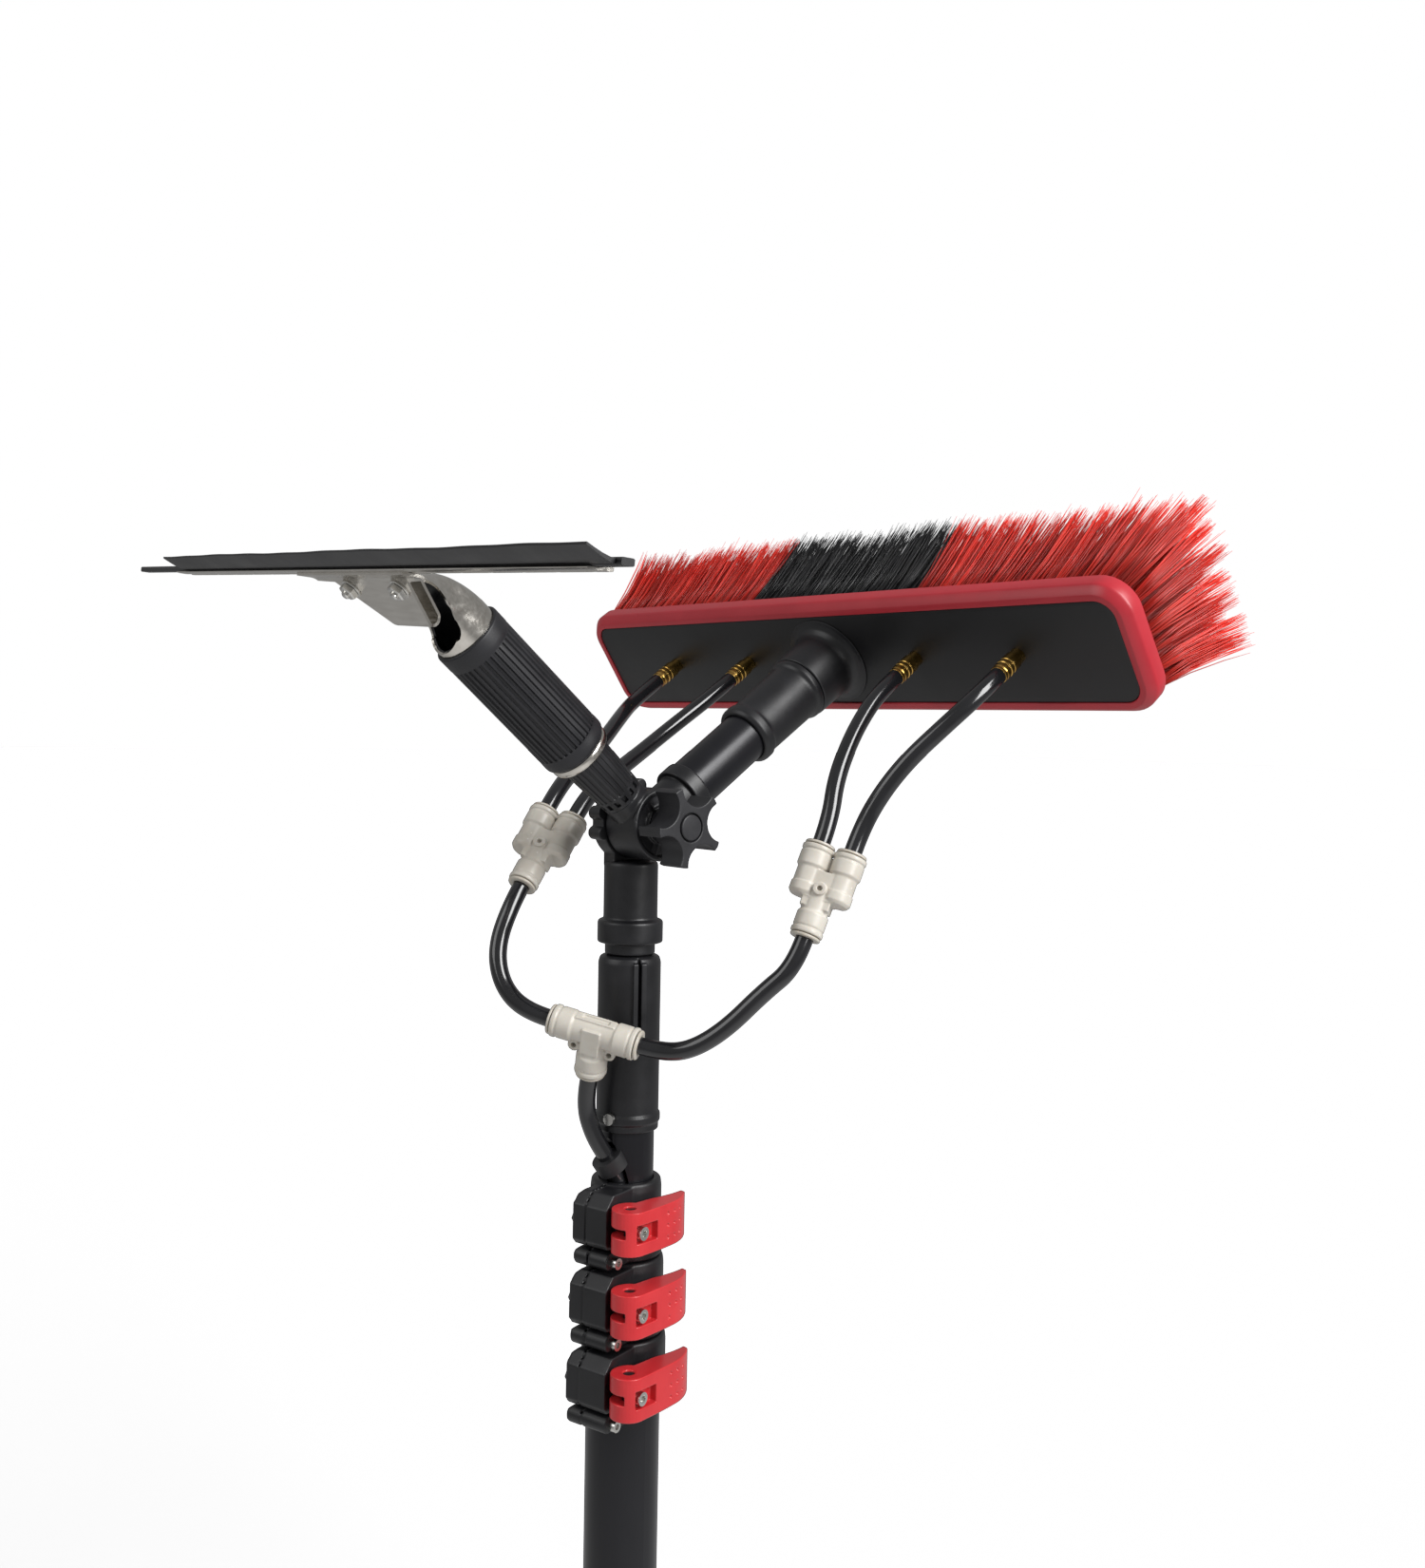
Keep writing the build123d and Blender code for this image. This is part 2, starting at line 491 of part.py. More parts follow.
# Routes from port to port; the inner points are the bends of each hose.
ROUTES = {
    "hose_feed": [TEE_FOOT, (-0.2, -25.6, -128.8), (1.2, -21.4, -145.0), (3.6, -11.5, -160.5),
                  (5.0, -4.6, -174.5)],
    "hose_tee_left": [TEE_LEFT, TEE_LEFT - TEE_RUN * 13.0, (-24.5, -55.5, -75.5),
                      (-31.5, -54.5, -59.5), LEFT_FOOT - LEFT_AXIS * 13.0, LEFT_FOOT],
    "hose_tee_right": [TEE_RIGHT, TEE_RIGHT + TEE_RUN * 11.0, (52.0, -5.5, -98.7),
                       (64.5, 3.5, -88.5), (77.0, 14.0, -71.5), RIGHT_FOOT - RIGHT_AXIS * 14.0,
                       RIGHT_FOOT],
    "hose_brush_1": [LEFT_A, LEFT_A + LEFT_AXIS * 18.0, (-62.5, 15.0, 23.5), (-78.0, 40.0, 34.5),
                     (-93.0, 66.0, 50.5), barb_end(-120.0) - BRUSH_DIR * 22.0, barb_end(-120.0)],
    "hose_brush_2": [LEFT_B, LEFT_B + LEFT_AXIS * 15.0, (-44.0, 24.0, 21.5), (-50.0, 48.0, 33.5),
                     (-51.0, 70.0, 47.0), barb_end(-59.0) - BRUSH_DIR * 18.0, barb_end(-59.0)],
    "hose_brush_3": [RIGHT_A, RIGHT_A + RIGHT_AXIS * 13.0, (77.0, 57.5, 22.0), (74.0, 68.5, 38.0),
                     (71.8, 80.0, 51.0), barb_end(59.0) - BRUSH_DIR * 15.0, barb_end(59.0)],
    "hose_brush_4": [RIGHT_B, RIGHT_B + RIGHT_AXIS * 13.0, (101.0, 62.0, 17.0), (109.5, 69.5, 32.0),
                     (120.5, 78.5, 46.0), barb_end(120.0) - BRUSH_DIR * 16.0, barb_end(120.0)],
}


def hose(name):
    """Plain round hose along straight runs joined by tangent arcs."""
    points = [Vector(*p) if isinstance(p, tuple) else p for p in ROUTES[name]]
    radii = []
    for before, here, after in zip(points[:-2], points[1:-1], points[2:]):
        run_in, run_out = here - before, after - here
        turn = radians(run_in.get_angle(run_out))
        radii.append(0.45 * min(run_in.length, run_out.length) / tan(turn / 2))
    path = FilletPolyline(*points, radius=radii)
    section = Plane(origin=path @ 0, z_dir=path % 0) * Circle(HOSE_OD / 2)
    tube = sweep(section, path=path)
    expected = path.length * section.area
    runs = [round((b - a).length, 1) for a, b in zip(points[:-1], points[1:])]
    print(name, "length", round(path.length, 1), "volume ratio", round(tube.volume / expected, 4),
          "runs", runs, "radii", [round(r, 1) for r in radii])
    return tube


def hose_hole(r, length):
    """Slanted hole through the wall of the top tube, in line with the feed hose."""
    points = ROUTES["hose_feed"]
    entry, before = Vector(*points[3]), Vector(*points[2])
    return axis_plane(entry, (entry - before).normalized(), (1, 0, 0)) * rod(r, -length / 2, length / 2)


def port(origin, direction, length):
    """One arm of a push-in fitting, ending in the seat of its release collar."""
    plane = axis_plane(origin, direction, perpendicular(direction))
    arm = plane * (rod(PORT_R - 0.9, 0, length - 9.0) + rod(PORT_R, length - 10.0, length - 2.0))
    return arm - plane * rod(HOSE_OD / 2, length - 12.0, length + 1.0)


def collar(origin, direction, length):
    """Release collar around the hose at the mouth of a port."""
    plane = axis_plane(origin, direction, perpendicular(direction))
    return plane * ring(PORT_R - 1.2, HOSE_OD / 2, length - 2.0, length)


def perpendicular(direction):
    other = Vector(0, 0, 1) if abs(direction.Z) < 0.8 else Vector(1, 0, 0)
    return other.cross(direction).normalized()


def boss(origin, axis, across):
    """Small fixing eyelet on the side of a fitting."""
    plane = axis_plane(origin, axis, across)
    return plane * ring(2.6, 1.4, -2.6, 2.6)


def fittings():
    facing = TEE_RUN.cross(TEE_DOWN).normalized()
    tee = port(TEE_CENTRE, TEE_RUN, TEE_HALF) + port(TEE_CENTRE, TEE_RUN * -1, TEE_HALF)
    tee += port(TEE_CENTRE, TEE_DOWN, TEE_BRANCH)
    for side in (-1, 1):
        tee += boss(TEE_CENTRE + TEE_RUN * (8.6 * side) + TEE_DOWN * 8.4, facing, TEE_RUN)
    save("tee_fitting", tee)
    rings = [collar(TEE_CENTRE, TEE_RUN, TEE_HALF), collar(TEE_CENTRE, TEE_RUN * -1, TEE_HALF),
             collar(TEE_CENTRE, TEE_DOWN, TEE_BRANCH)]
    save("tee_collars", Compound(children=rings))
    rings = wye("left", LEFT_FOOT, LEFT_AXIS, LEFT_A, LEFT_B, LEFT_SIDE)
    rings += wye("right", RIGHT_FOOT, RIGHT_AXIS, RIGHT_A, RIGHT_B, RIGHT_SIDE)
    save("wye_collars", Compound(children=rings))


def wye(name, foot, axis, top_a, top_b, side):
    """Y fitting: one port below, two parallel ports above. Returns its release collars."""
    half = WYE_LENGTH / 2
    middle = foot + axis * half
    facing = axis.cross(side).normalized()
    body = port(middle, axis * -1, half)
    for top in (top_a, top_b):
        body += port(top - axis * half, axis, half)
    cross_plane = axis_plane(middle, axis, side)
    body += cross_plane * block((-WYE_PITCH / 2, WYE_PITCH / 2), (-5.2, 5.2), (-3.5, 10.0))
    body += axis_plane(middle, facing, side) * rod(3.2, 4.0, 8.4)
    save(f"wye_{name}_fitting", body)
    return [collar(middle, axis * -1, half), collar(top_a - axis * half, axis, half),
            collar(top_b - axis * half, axis, half)]


def hoses():
    tubes = {name: hose(name) for name in ROUTES}
    for name, tube in tubes.items():
        save(name, tube)
    entry, before = Vector(*ROUTES["hose_feed"][3]), Vector(*ROUTES["hose_feed"][2])
    plane = axis_plane(entry, (entry - before).normalized(), (1, 0, 0))
    flange = plane * rod(7.6, -5.2, 2.0) - rod(TUBE_OD[3] / 2, -190, -140)
    sleeve = plane * rod(GROMMET_R, -5.2, 2.6)
    save("hose_grommet", flange + sleeve - tubes["hose_feed"])


pole_tubes()
end_cap()
clamps()
joint_parts()
brush_parts()
squeegee_parts()
fittings()
hoses()
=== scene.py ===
import cmath
import json
import random
from math import acos, copysign, cos, exp, pi, radians, sin, sqrt, tan

import bmesh
import bpy
from mathutils import Matrix, Vector


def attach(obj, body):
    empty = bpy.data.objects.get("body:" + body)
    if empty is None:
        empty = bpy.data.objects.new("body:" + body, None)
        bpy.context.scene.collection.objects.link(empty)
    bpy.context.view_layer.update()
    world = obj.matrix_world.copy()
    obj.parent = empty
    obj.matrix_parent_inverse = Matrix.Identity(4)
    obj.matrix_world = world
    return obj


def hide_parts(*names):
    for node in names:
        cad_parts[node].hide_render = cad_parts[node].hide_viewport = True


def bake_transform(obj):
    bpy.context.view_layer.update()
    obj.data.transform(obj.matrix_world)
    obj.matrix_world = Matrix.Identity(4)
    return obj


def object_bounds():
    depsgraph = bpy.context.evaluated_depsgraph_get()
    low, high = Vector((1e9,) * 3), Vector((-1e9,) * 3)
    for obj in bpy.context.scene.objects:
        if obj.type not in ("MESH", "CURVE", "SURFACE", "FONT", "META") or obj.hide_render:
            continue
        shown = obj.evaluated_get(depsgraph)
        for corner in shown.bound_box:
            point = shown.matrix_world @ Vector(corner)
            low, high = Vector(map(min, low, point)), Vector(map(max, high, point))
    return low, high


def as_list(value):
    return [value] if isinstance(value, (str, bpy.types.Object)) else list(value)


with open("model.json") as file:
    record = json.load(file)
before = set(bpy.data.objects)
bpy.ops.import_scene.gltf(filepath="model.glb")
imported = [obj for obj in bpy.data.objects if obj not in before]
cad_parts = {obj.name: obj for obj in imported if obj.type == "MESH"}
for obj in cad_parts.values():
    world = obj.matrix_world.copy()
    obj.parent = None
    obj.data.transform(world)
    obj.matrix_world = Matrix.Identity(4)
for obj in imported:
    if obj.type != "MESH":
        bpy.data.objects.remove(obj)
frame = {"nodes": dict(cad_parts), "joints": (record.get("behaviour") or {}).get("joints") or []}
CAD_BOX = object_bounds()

# ---------------------------------------------------------------- frames
# Shapes are drawn in millimetres about the tilt pivot, then carried into the row frame in metres.
MM = 0.001
PIVOT = Vector(next(j for j in frame["joints"] if j["name"] == "head_tilt")["pos_m"])
TO_ROW = Matrix.Translation(PIVOT) @ Matrix.Diagonal((MM, MM, MM, 1.0))
ARM_X = 12.0
BRUSH_ANGLE = radians(34.3)
SQUEEGEE_ANGLE = radians(39.6)
SQUEEGEE_ROLL = radians(-4.6)


def frame_at(origin, z_axis, x_axis=(1, 0, 0)):
    """Local frame with Z along z_axis and X as near x_axis as it can be."""
    z = Vector(z_axis).normalized()
    x = Vector(x_axis)
    x = (x - z * x.dot(z)).normalized()
    turn = Matrix((x, z.cross(x), z)).transposed().to_4x4()
    turn.translation = Vector(origin)
    return turn


POLE = Matrix.Identity(4)
BRUSH_DIR = Vector((0, cos(BRUSH_ANGLE), sin(BRUSH_ANGLE)))
HANDLE_DIR = Vector((0, -cos(SQUEEGEE_ANGLE), sin(SQUEEGEE_ANGLE)))
HANDLE_UP = Vector((0, sin(SQUEEGEE_ANGLE), cos(SQUEEGEE_ANGLE)))
ROLL_X = Vector((cos(SQUEEGEE_ROLL), 0, 0)) + HANDLE_UP * sin(SQUEEGEE_ROLL)
BRUSH = frame_at((ARM_X, 0, 0), BRUSH_DIR)
HANDLE = frame_at((ARM_X, 0, 0), HANDLE_DIR)
SQUEEGEE = frame_at((ARM_X, 0, 0), HANDLE_DIR, ROLL_X)


def linked(name, data):
    """New object with this data, in the scene."""
    made = bpy.data.objects.new(name, data)
    bpy.context.scene.collection.objects.link(made)
    return made


def shift(x, y, z):
    return Matrix.Translation((x, y, z))


def polar(r, a):
    return r * cos(a), r * sin(a)


# ---------------------------------------------------------------- camera
LENS_F = 38.58
CAMERA_AT = Vector((561.6, -450.9, 46.4))
CAMERA_AZ = radians(48.24)
CAMERA_EL = radians(-2.21)
CAMERA_ROLL = radians(1.04)


def make_camera():
    forward = Vector((-sin(CAMERA_AZ) * cos(CAMERA_EL), cos(CAMERA_AZ) * cos(CAMERA_EL), sin(CAMERA_EL)))
    level = Vector((cos(CAMERA_AZ), sin(CAMERA_AZ), 0))
    upright = level.cross(forward)
    right = level * cos(CAMERA_ROLL) + upright * sin(CAMERA_ROLL)
    up = upright * cos(CAMERA_ROLL) - level * sin(CAMERA_ROLL)
    data = bpy.data.cameras.new("camera")
    data.sensor_fit = "HORIZONTAL"
    data.sensor_width = 36.0
    data.lens = LENS_F
    data.clip_start = 0.01
    data.clip_end = 200.0
    camera = linked("camera", data)
    turn = Matrix((right, up, -forward)).transposed().to_4x4()
    turn.translation = TO_ROW @ CAMERA_AT
    camera.matrix_world = turn
    bpy.context.scene.camera = camera


make_camera()


# ---------------------------------------------------------------- materials
MOTTLE = (0.3, 0.7)         # noise values where the dark and the light colour are reached


def set_inputs(made, **inputs):
    for key, value in inputs.items():
        made.inputs[key.replace("_", " ")].default_value = value
    return made


def node(tree, kind, **inputs):
    return set_inputs(tree.nodes.new("ShaderNode" + kind), **inputs)


def material(name, dark, light, rough, vary=0.06, metal=0.0, scale=40.0, stretch=(1, 1, 1),
             bump=0.0, bump_scale=900.0, coat=0.0, coat_rough=0.1, subsurface=0.0, wear=None, attribute=None):
    """Principled finish with mottled colour, uneven gloss, a fine surface grain and edges lightened as wear
    and as a painted highlight.
    """
    mat = bpy.data.materials.new(name)
    mat.use_nodes = True
    tree = mat.node_tree
    shader = set_inputs(tree.nodes["Principled BSDF"], Metallic=metal, Coat_Weight=coat,
                        Coat_Roughness=coat_rough)
    if subsurface:
        set_inputs(shader, Subsurface_Weight=subsurface, Subsurface_Radius=(0.004, 0.002, 0.001))
    link = tree.links.new
    mapping = node(tree, "Mapping", Scale=stretch)
    link(node(tree, "TexCoord").outputs["Object"], mapping.inputs["Vector"])

    def noise(**inputs):
        made = node(tree, "TexNoise", **inputs)
        link(mapping.outputs["Vector"], made.inputs["Vector"])
        return made.outputs["Fac"]

    mottle = noise(Scale=scale, Detail=6.0, Roughness=0.6)
    ramp = node(tree, "ValToRGB")
    for stop, position, tint in zip(ramp.color_ramp.elements, MOTTLE, (dark, light)):
        stop.position, stop.color = position, (*tint, 1)
    link(mottle, ramp.inputs["Fac"])
    colour = ramp.outputs["Color"]
    # A colour attribute multiplies the colour; for the bristles it brings their random tone and a painted
    # shade at the roots.
    if attribute:
        shade = node(tree, "Attribute")
        shade.attribute_name = attribute
        tone = node(tree, "Mix")
        tone.data_type, tone.blend_type = "RGBA", "MULTIPLY"
        tone.inputs["Factor"].default_value = 1.0
        link(colour, tone.inputs["A"])
        link(shade.outputs["Color"], tone.inputs["B"])
        colour = tone.outputs["Result"]
    # Edges are lightened by pointiness: partly wear, partly a painted highlight along the edges.
    if wear:
        edge = node(tree, "MapRange", From_Min=0.52, From_Max=0.62, To_Max=0.55)
        link(node(tree, "NewGeometry").outputs["Pointiness"], edge.inputs["Value"])
        worn_and_highlit = node(tree, "Mix")
        worn_and_highlit.data_type = "RGBA"
        worn_and_highlit.inputs["B"].default_value = (*wear, 1)
        link(edge.outputs["Result"], worn_and_highlit.inputs["Factor"])
        link(colour, worn_and_highlit.inputs["A"])
        colour = worn_and_highlit.outputs["Result"]
    link(colour, shader.inputs["Base Color"])
    gloss = node(tree, "MapRange", From_Min=MOTTLE[0], From_Max=MOTTLE[1], To_Min=max(rough - vary, 0.03),
                 To_Max=rough + vary)
    link(mottle, gloss.inputs["Value"])
    link(gloss.outputs["Result"], shader.inputs["Roughness"])
    if bump:
        rise = node(tree, "Bump", Strength=bump, Distance=0.0002)
        link(noise(Scale=bump_scale, Detail=3.0), rise.inputs["Height"])
        link(rise.outputs["Normal"], shader.inputs["Normal"])
    return mat


# Two colours that mottle into each other, roughness and the rest of each finish; the edge colour is wear
# together with a painted highlight.
FINISHES = {
    "anodised_tube": ((0.006, 0.006, 0.008), (0.012, 0.012, 0.015), 0.30,
        dict(vary=0.05, metal=0.25, scale=18, stretch=(1, 1, 0.25), bump=0.06, bump_scale=1600)),
    "black_plastic": ((0.005, 0.005, 0.006), (0.010, 0.010, 0.012), 0.42,
        dict(vary=0.07, scale=60, bump=0.16, bump_scale=1500, wear=(0.05, 0.05, 0.055))),
    "knob_plastic": ((0.012, 0.012, 0.014), (0.020, 0.020, 0.023), 0.47,
        dict(scale=70, bump=0.18, bump_scale=1400, wear=(0.06, 0.06, 0.065))),
    "cap_plastic": ((0.016, 0.016, 0.018), (0.024, 0.024, 0.027), 0.40,
        dict(scale=80, bump=0.10, bump_scale=1500)),
    "lever_red": ((0.52, 0.020, 0.026), (0.62, 0.030, 0.036), 0.33,
        dict(scale=50, bump=0.06, coat=0.15, subsurface=0.05, wear=(0.80, 0.10, 0.10))),
    "block_red": ((0.36, 0.014, 0.024), (0.43, 0.019, 0.031), 0.38,
        dict(scale=30, bump=0.08, bump_scale=800, subsurface=0.05, wear=(0.66, 0.06, 0.08))),
    "plate_black": ((0.0025, 0.0025, 0.003), (0.005, 0.005, 0.006), 0.46,
        dict(vary=0.07, scale=22, bump=0.10, bump_scale=1200)),
    # Bristle colours are multiplied by the tone attribute, which holds random tone and a painted shade
    # darkening the roots.
    "bristle_red": ((0.80, 0.026, 0.016), (0.95, 0.052, 0.030), 0.36,
        dict(scale=90, subsurface=0.12, attribute="tone")),
    "bristle_black": ((0.008, 0.008, 0.009), (0.018, 0.018, 0.020), 0.34, dict(scale=90, attribute="tone")),
    "grip_rubber": ((0.006, 0.006, 0.008), (0.012, 0.012, 0.015), 0.50,
        dict(vary=0.08, scale=80, bump=0.20, bump_scale=1800)),
    "blade_rubber": ((0.003, 0.003, 0.004), (0.007, 0.007, 0.009), 0.42,
        dict(scale=40, bump=0.06, bump_scale=1200)),
    "stainless": ((0.55, 0.52, 0.47), (0.70, 0.67, 0.62), 0.20,
        dict(vary=0.07, metal=1.0, scale=60, stretch=(1, 6, 6), bump=0.05, bump_scale=300)),
    "zinc_steel": ((0.60, 0.59, 0.56), (0.76, 0.75, 0.72), 0.24,
        dict(vary=0.08, metal=1.0, scale=140, bump=0.05)),
    "black_oxide": ((0.020, 0.020, 0.022), (0.035, 0.035, 0.038), 0.38,
        dict(metal=0.6, scale=120, bump=0.05)),
    "brass": ((0.42, 0.24, 0.05), (0.62, 0.40, 0.12), 0.24,
        dict(vary=0.08, metal=1.0, scale=160, bump=0.05)),
    "fitting_white": ((0.50, 0.46, 0.40), (0.60, 0.57, 0.51), 0.36,
        dict(scale=70, bump=0.06, subsurface=0.1, wear=(0.80, 0.78, 0.74))),
    "collar_grey": ((0.46, 0.42, 0.35), (0.56, 0.52, 0.46), 0.30,
        dict(scale=90, bump=0.04, subsurface=0.1)),
    "hose_black": ((0.007, 0.007, 0.008), (0.012, 0.012, 0.014), 0.16,
        dict(vary=0.05, scale=45, coat=0.4, coat_rough=0.06, bump=0.03, bump_scale=400)),
    "grommet_rubber": ((0.010, 0.010, 0.011), (0.018, 0.018, 0.020), 0.55, dict(scale=120, bump=0.15)),
    "glide_nylon": ((0.70, 0.70, 0.66), (0.80, 0.80, 0.76), 0.45, dict(scale=80, bump=0.05)),
}
MATS = {name: material(name, dark, light, rough, **rest[0] if rest else {})
        for name, (dark, light, rough, *rest) in FINISHES.items()}


# ---------------------------------------------------------------- mesh tools
def softened(points, radius, steps=3):
    """Closed outline with every corner off the axis rounded by up to radius."""
    rounded = []
    count = len(points)
    for i, corner in enumerate(points):
        here = Vector(corner)
        back = Vector(points[i - 1]) - here
        ahead = Vector(points[(i + 1) % count]) - here
        reach = min(radius, 0.45 * back.length, 0.45 * ahead.length)
        if here.x == 0 or reach < 1e-4:
            rounded.append(here)
            continue
        first = here + back.normalized() * reach
        last = here + ahead.normalized() * reach
        for k in range(steps + 1):
            t = k / steps
            rounded.append(first * (1 - t) ** 2 + here * (2 * t * (1 - t)) + last * (t * t))
    return rounded


def skin(rings):
    """Faces from each closed ring to the next, and from the last back to the first."""
    count = len(rings[0])
    faces = []
    for i in range(len(rings)):
        low, high = i * count, (i + 1) % len(rings) * count
        for k in range(count):
            n = (k + 1) % count
            faces.append([low + k, low + n, high + n, high + k])
    return faces


class Form:
    """Closed shells gathered in one mesh, in millimetres about the pivot."""

    def __init__(self):
        self.points = []
        self.faces = []
        self.slots = []
        self.slot = 0

    def add(self, place, points, faces):
        start = len(self.points)
        self.points += [place @ Vector(p) for p in points]
        self.faces += [[start + i for i in face] for face in faces]
        self.slots += [self.slot] * len(faces)
        return self

    def lathe(self, place, profile, radius=0.0, sides=72):
        """Turn a closed (radius, z) profile about local Z."""
        outline = softened(profile, radius) if radius else [Vector(p) for p in profile]
        points, rings = [], []
        for p in outline:
            if p.x < 1e-5:
                rings.append([len(points)] * sides)
                points.append((0, 0, p.y))
                continue
            rings.append([len(points) + k for k in range(sides)])
            for k in range(sides):
                a = 2 * pi * k / sides
                points.append((*polar(p.x, a), p.y))
        faces = []
        for i, low in enumerate(rings):
            high = rings[(i + 1) % len(rings)]
            for k in range(sides):
                face = [low[k], low[(k + 1) % sides], high[(k + 1) % sides], high[k]]
                face = [v for j, v in enumerate(face) if v != face[j - 1]]
                if len(face) > 2:
                    faces.append(face)
        return self.add(place, points, faces)

    def rod(self, place, r, low, high, **finish):
        """Solid round bar along local Z."""
        return self.lathe(place, [(0, low), (r, low), (r, high), (0, high)], **finish)

    def stack(self, place, rings):
        """Skin closed rings of equal count, with flat caps on the first and last."""
        count = len(rings[0])
        points = [p for ring in rings for p in ring]
        caps = [list(range(count))[::-1], [len(points) - count + k for k in range(count)]]
        return self.add(place, points, caps + skin(rings)[:-count])

    def ribbon(self, place, rings):
        """Stack of rings that are each an upper row and a lower row back again, capped with quads."""
        self.stack(place, rings)
        count, start = len(rings[0]), len(self.faces) - (len(rings) - 1) * len(rings[0]) - 2
        base = min(self.faces[start])
        last = base + (len(rings) - 1) * count
        ends = []
        for k in range(count // 2 - 1):
            ends.append([base + count - 1 - k, base + count - 2 - k, base + k + 1, base + k])
            ends.append([last + k, last + k + 1, last + count - 2 - k, last + count - 1 - k])
        self.faces[start:start + 2] = ends
        self.slots[start:start + 2] = [self.slot] * len(ends)
        return self

    def prism(self, place, outline, low, high):
        return self.stack(place, [[(p[0], p[1], z) for p in outline] for z in (low, high)])

    def box(self, place, x, y, z):
        return self.prism(place, [(x[0], y[0]), (x[1], y[0]), (x[1], y[1]), (x[0], y[1])], z[0], z[1])

    def loop(self, place, rings):
        """Skin closed rings whose last joins the first, such as a pipe wall."""
        return self.add(place, [p for ring in rings for p in ring], skin(rings))


def build(name, form, *finishes, angle=35.0):
    """Mesh object of a form in the row frame."""
    mesh = bpy.data.meshes.new(name)
    mesh.from_pydata([TO_ROW @ p for p in form.points], [], form.faces)
    for finish in finishes:
        mesh.materials.append(MATS[finish])
    mesh.polygons.foreach_set("material_index", form.slots)
    tidy = bmesh.new()
    tidy.from_mesh(mesh)
    bmesh.ops.remove_doubles(tidy, verts=tidy.verts, dist=1e-6)
    bmesh.ops.recalc_face_normals(tidy, faces=tidy.faces)
    tidy.to_mesh(mesh)
    tidy.free()
    mesh.shade_smooth()
    mesh.set_sharp_from_angle(angle=radians(angle))
    return linked(name, mesh)


def apply_modifiers(made):
    bpy.context.view_layer.update()
    solved = made.evaluated_get(bpy.context.evaluated_depsgraph_get())
    mesh = bpy.data.meshes.new_from_object(solved)
    made.modifiers.clear()
    old = made.data
    made.data = mesh
    bpy.data.meshes.remove(old)


def carve(made, cutter_form):
    """Take a form out of a piece."""
    cutter = build(made.name + "_cutter", cutter_form)
    step = made.modifiers.new("carve", "BOOLEAN")
    step.operation = "DIFFERENCE"
    step.solver = "EXACT"
    step.use_self = True
    step.object = cutter
    apply_modifiers(made)
    bpy.data.objects.remove(cutter)


def mould(made, voxel, rounds=4):
    """Fuse the shells of a moulded piece and round its edges."""
    fuse = made.modifiers.new("fuse", "REMESH")
    fuse.mode = "VOXEL"
    fuse.voxel_size = voxel * MM
    ease = made.modifiers.new("ease", "SMOOTH")
    ease.factor = 0.5
    ease.iterations = rounds
    finishes = list(made.data.materials)
    apply_modifiers(made)
    made.data.materials.clear()
    for finish in finishes:
        made.data.materials.append(finish)
    made.data.shade_smooth()


def settle(made, body, slot, *nodes):
    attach(made, body)
    if nodes:
        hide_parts(*nodes)
    return made


def piece(name, form, finish, body, node_name, angle=35.0):
    """Finished piece that rides on a body and stands for a node of the frame."""
    return settle(build(name, form, finish, angle=angle), body, finish, node_name)


def moulded(name, form, finish, body, node_name, voxel, *cuts, rounds=3):
    """Piece cut to shape, fused and rounded like a moulding."""
    made = build(name, form, finish)
    for cut in cuts:
        carve(made, cut)
    mould(made, voxel, rounds)
    return settle(made, body, finish, node_name)


# ---------------------------------------------------------------- hoses and fittings
HOSE_R = 4.0
BRUSH_REACH = 142.7
BARB_LENGTH = 16.5
TEE_HALF, TEE_BRANCH, WYE_LENGTH, WYE_PITCH = 21.65, 23.0, 43.0, 15.0
TEE_CENTRE = Vector((15.0, -31.5, -93.5))
TEE_RUN = Vector((0.80, 0.555, -0.22)).normalized()
TEE_DOWN = Vector((-0.38, 0.18, -0.907))
TEE_DOWN = (TEE_DOWN - TEE_RUN * TEE_DOWN.dot(TEE_RUN)).normalized()
LEFT_FOOT = Vector((-34.7, -38.4, -31.2))
LEFT_AXIS = Vector((-0.168, 0.632, 0.757)).normalized()
RIGHT_FOOT = Vector((87.6, 28.6, -47.1))
RIGHT_AXIS = Vector((0.006, 0.441, 0.897)).normalized()
WYE_ACROSS = Vector((0.82, 0.50, -0.28))


def wye_ports(foot, axis):
    """Top port mouths of a Y fitting and the direction from one to the other."""
    side = (WYE_ACROSS - axis * WYE_ACROSS.dot(axis)).normalized()
    top = foot + axis * WYE_LENGTH
    return top - side * (WYE_PITCH / 2), top + side * (WYE_PITCH / 2), side


LEFT_A, LEFT_B, LEFT_SIDE = wye_ports(LEFT_FOOT, LEFT_AXIS)
RIGHT_A, RIGHT_B, RIGHT_SIDE = wye_ports(RIGHT_FOOT, RIGHT_AXIS)
TEE_LEFT = TEE_CENTRE - TEE_RUN * TEE_HALF
TEE_RIGHT = TEE_CENTRE + TEE_RUN * TEE_HALF
TEE_FOOT = TEE_CENTRE + TEE_DOWN * TEE_BRANCH


def barb_end(u):
    return Vector((ARM_X + u, 0, 0)) + BRUSH_DIR * (BRUSH_REACH - BARB_LENGTH)


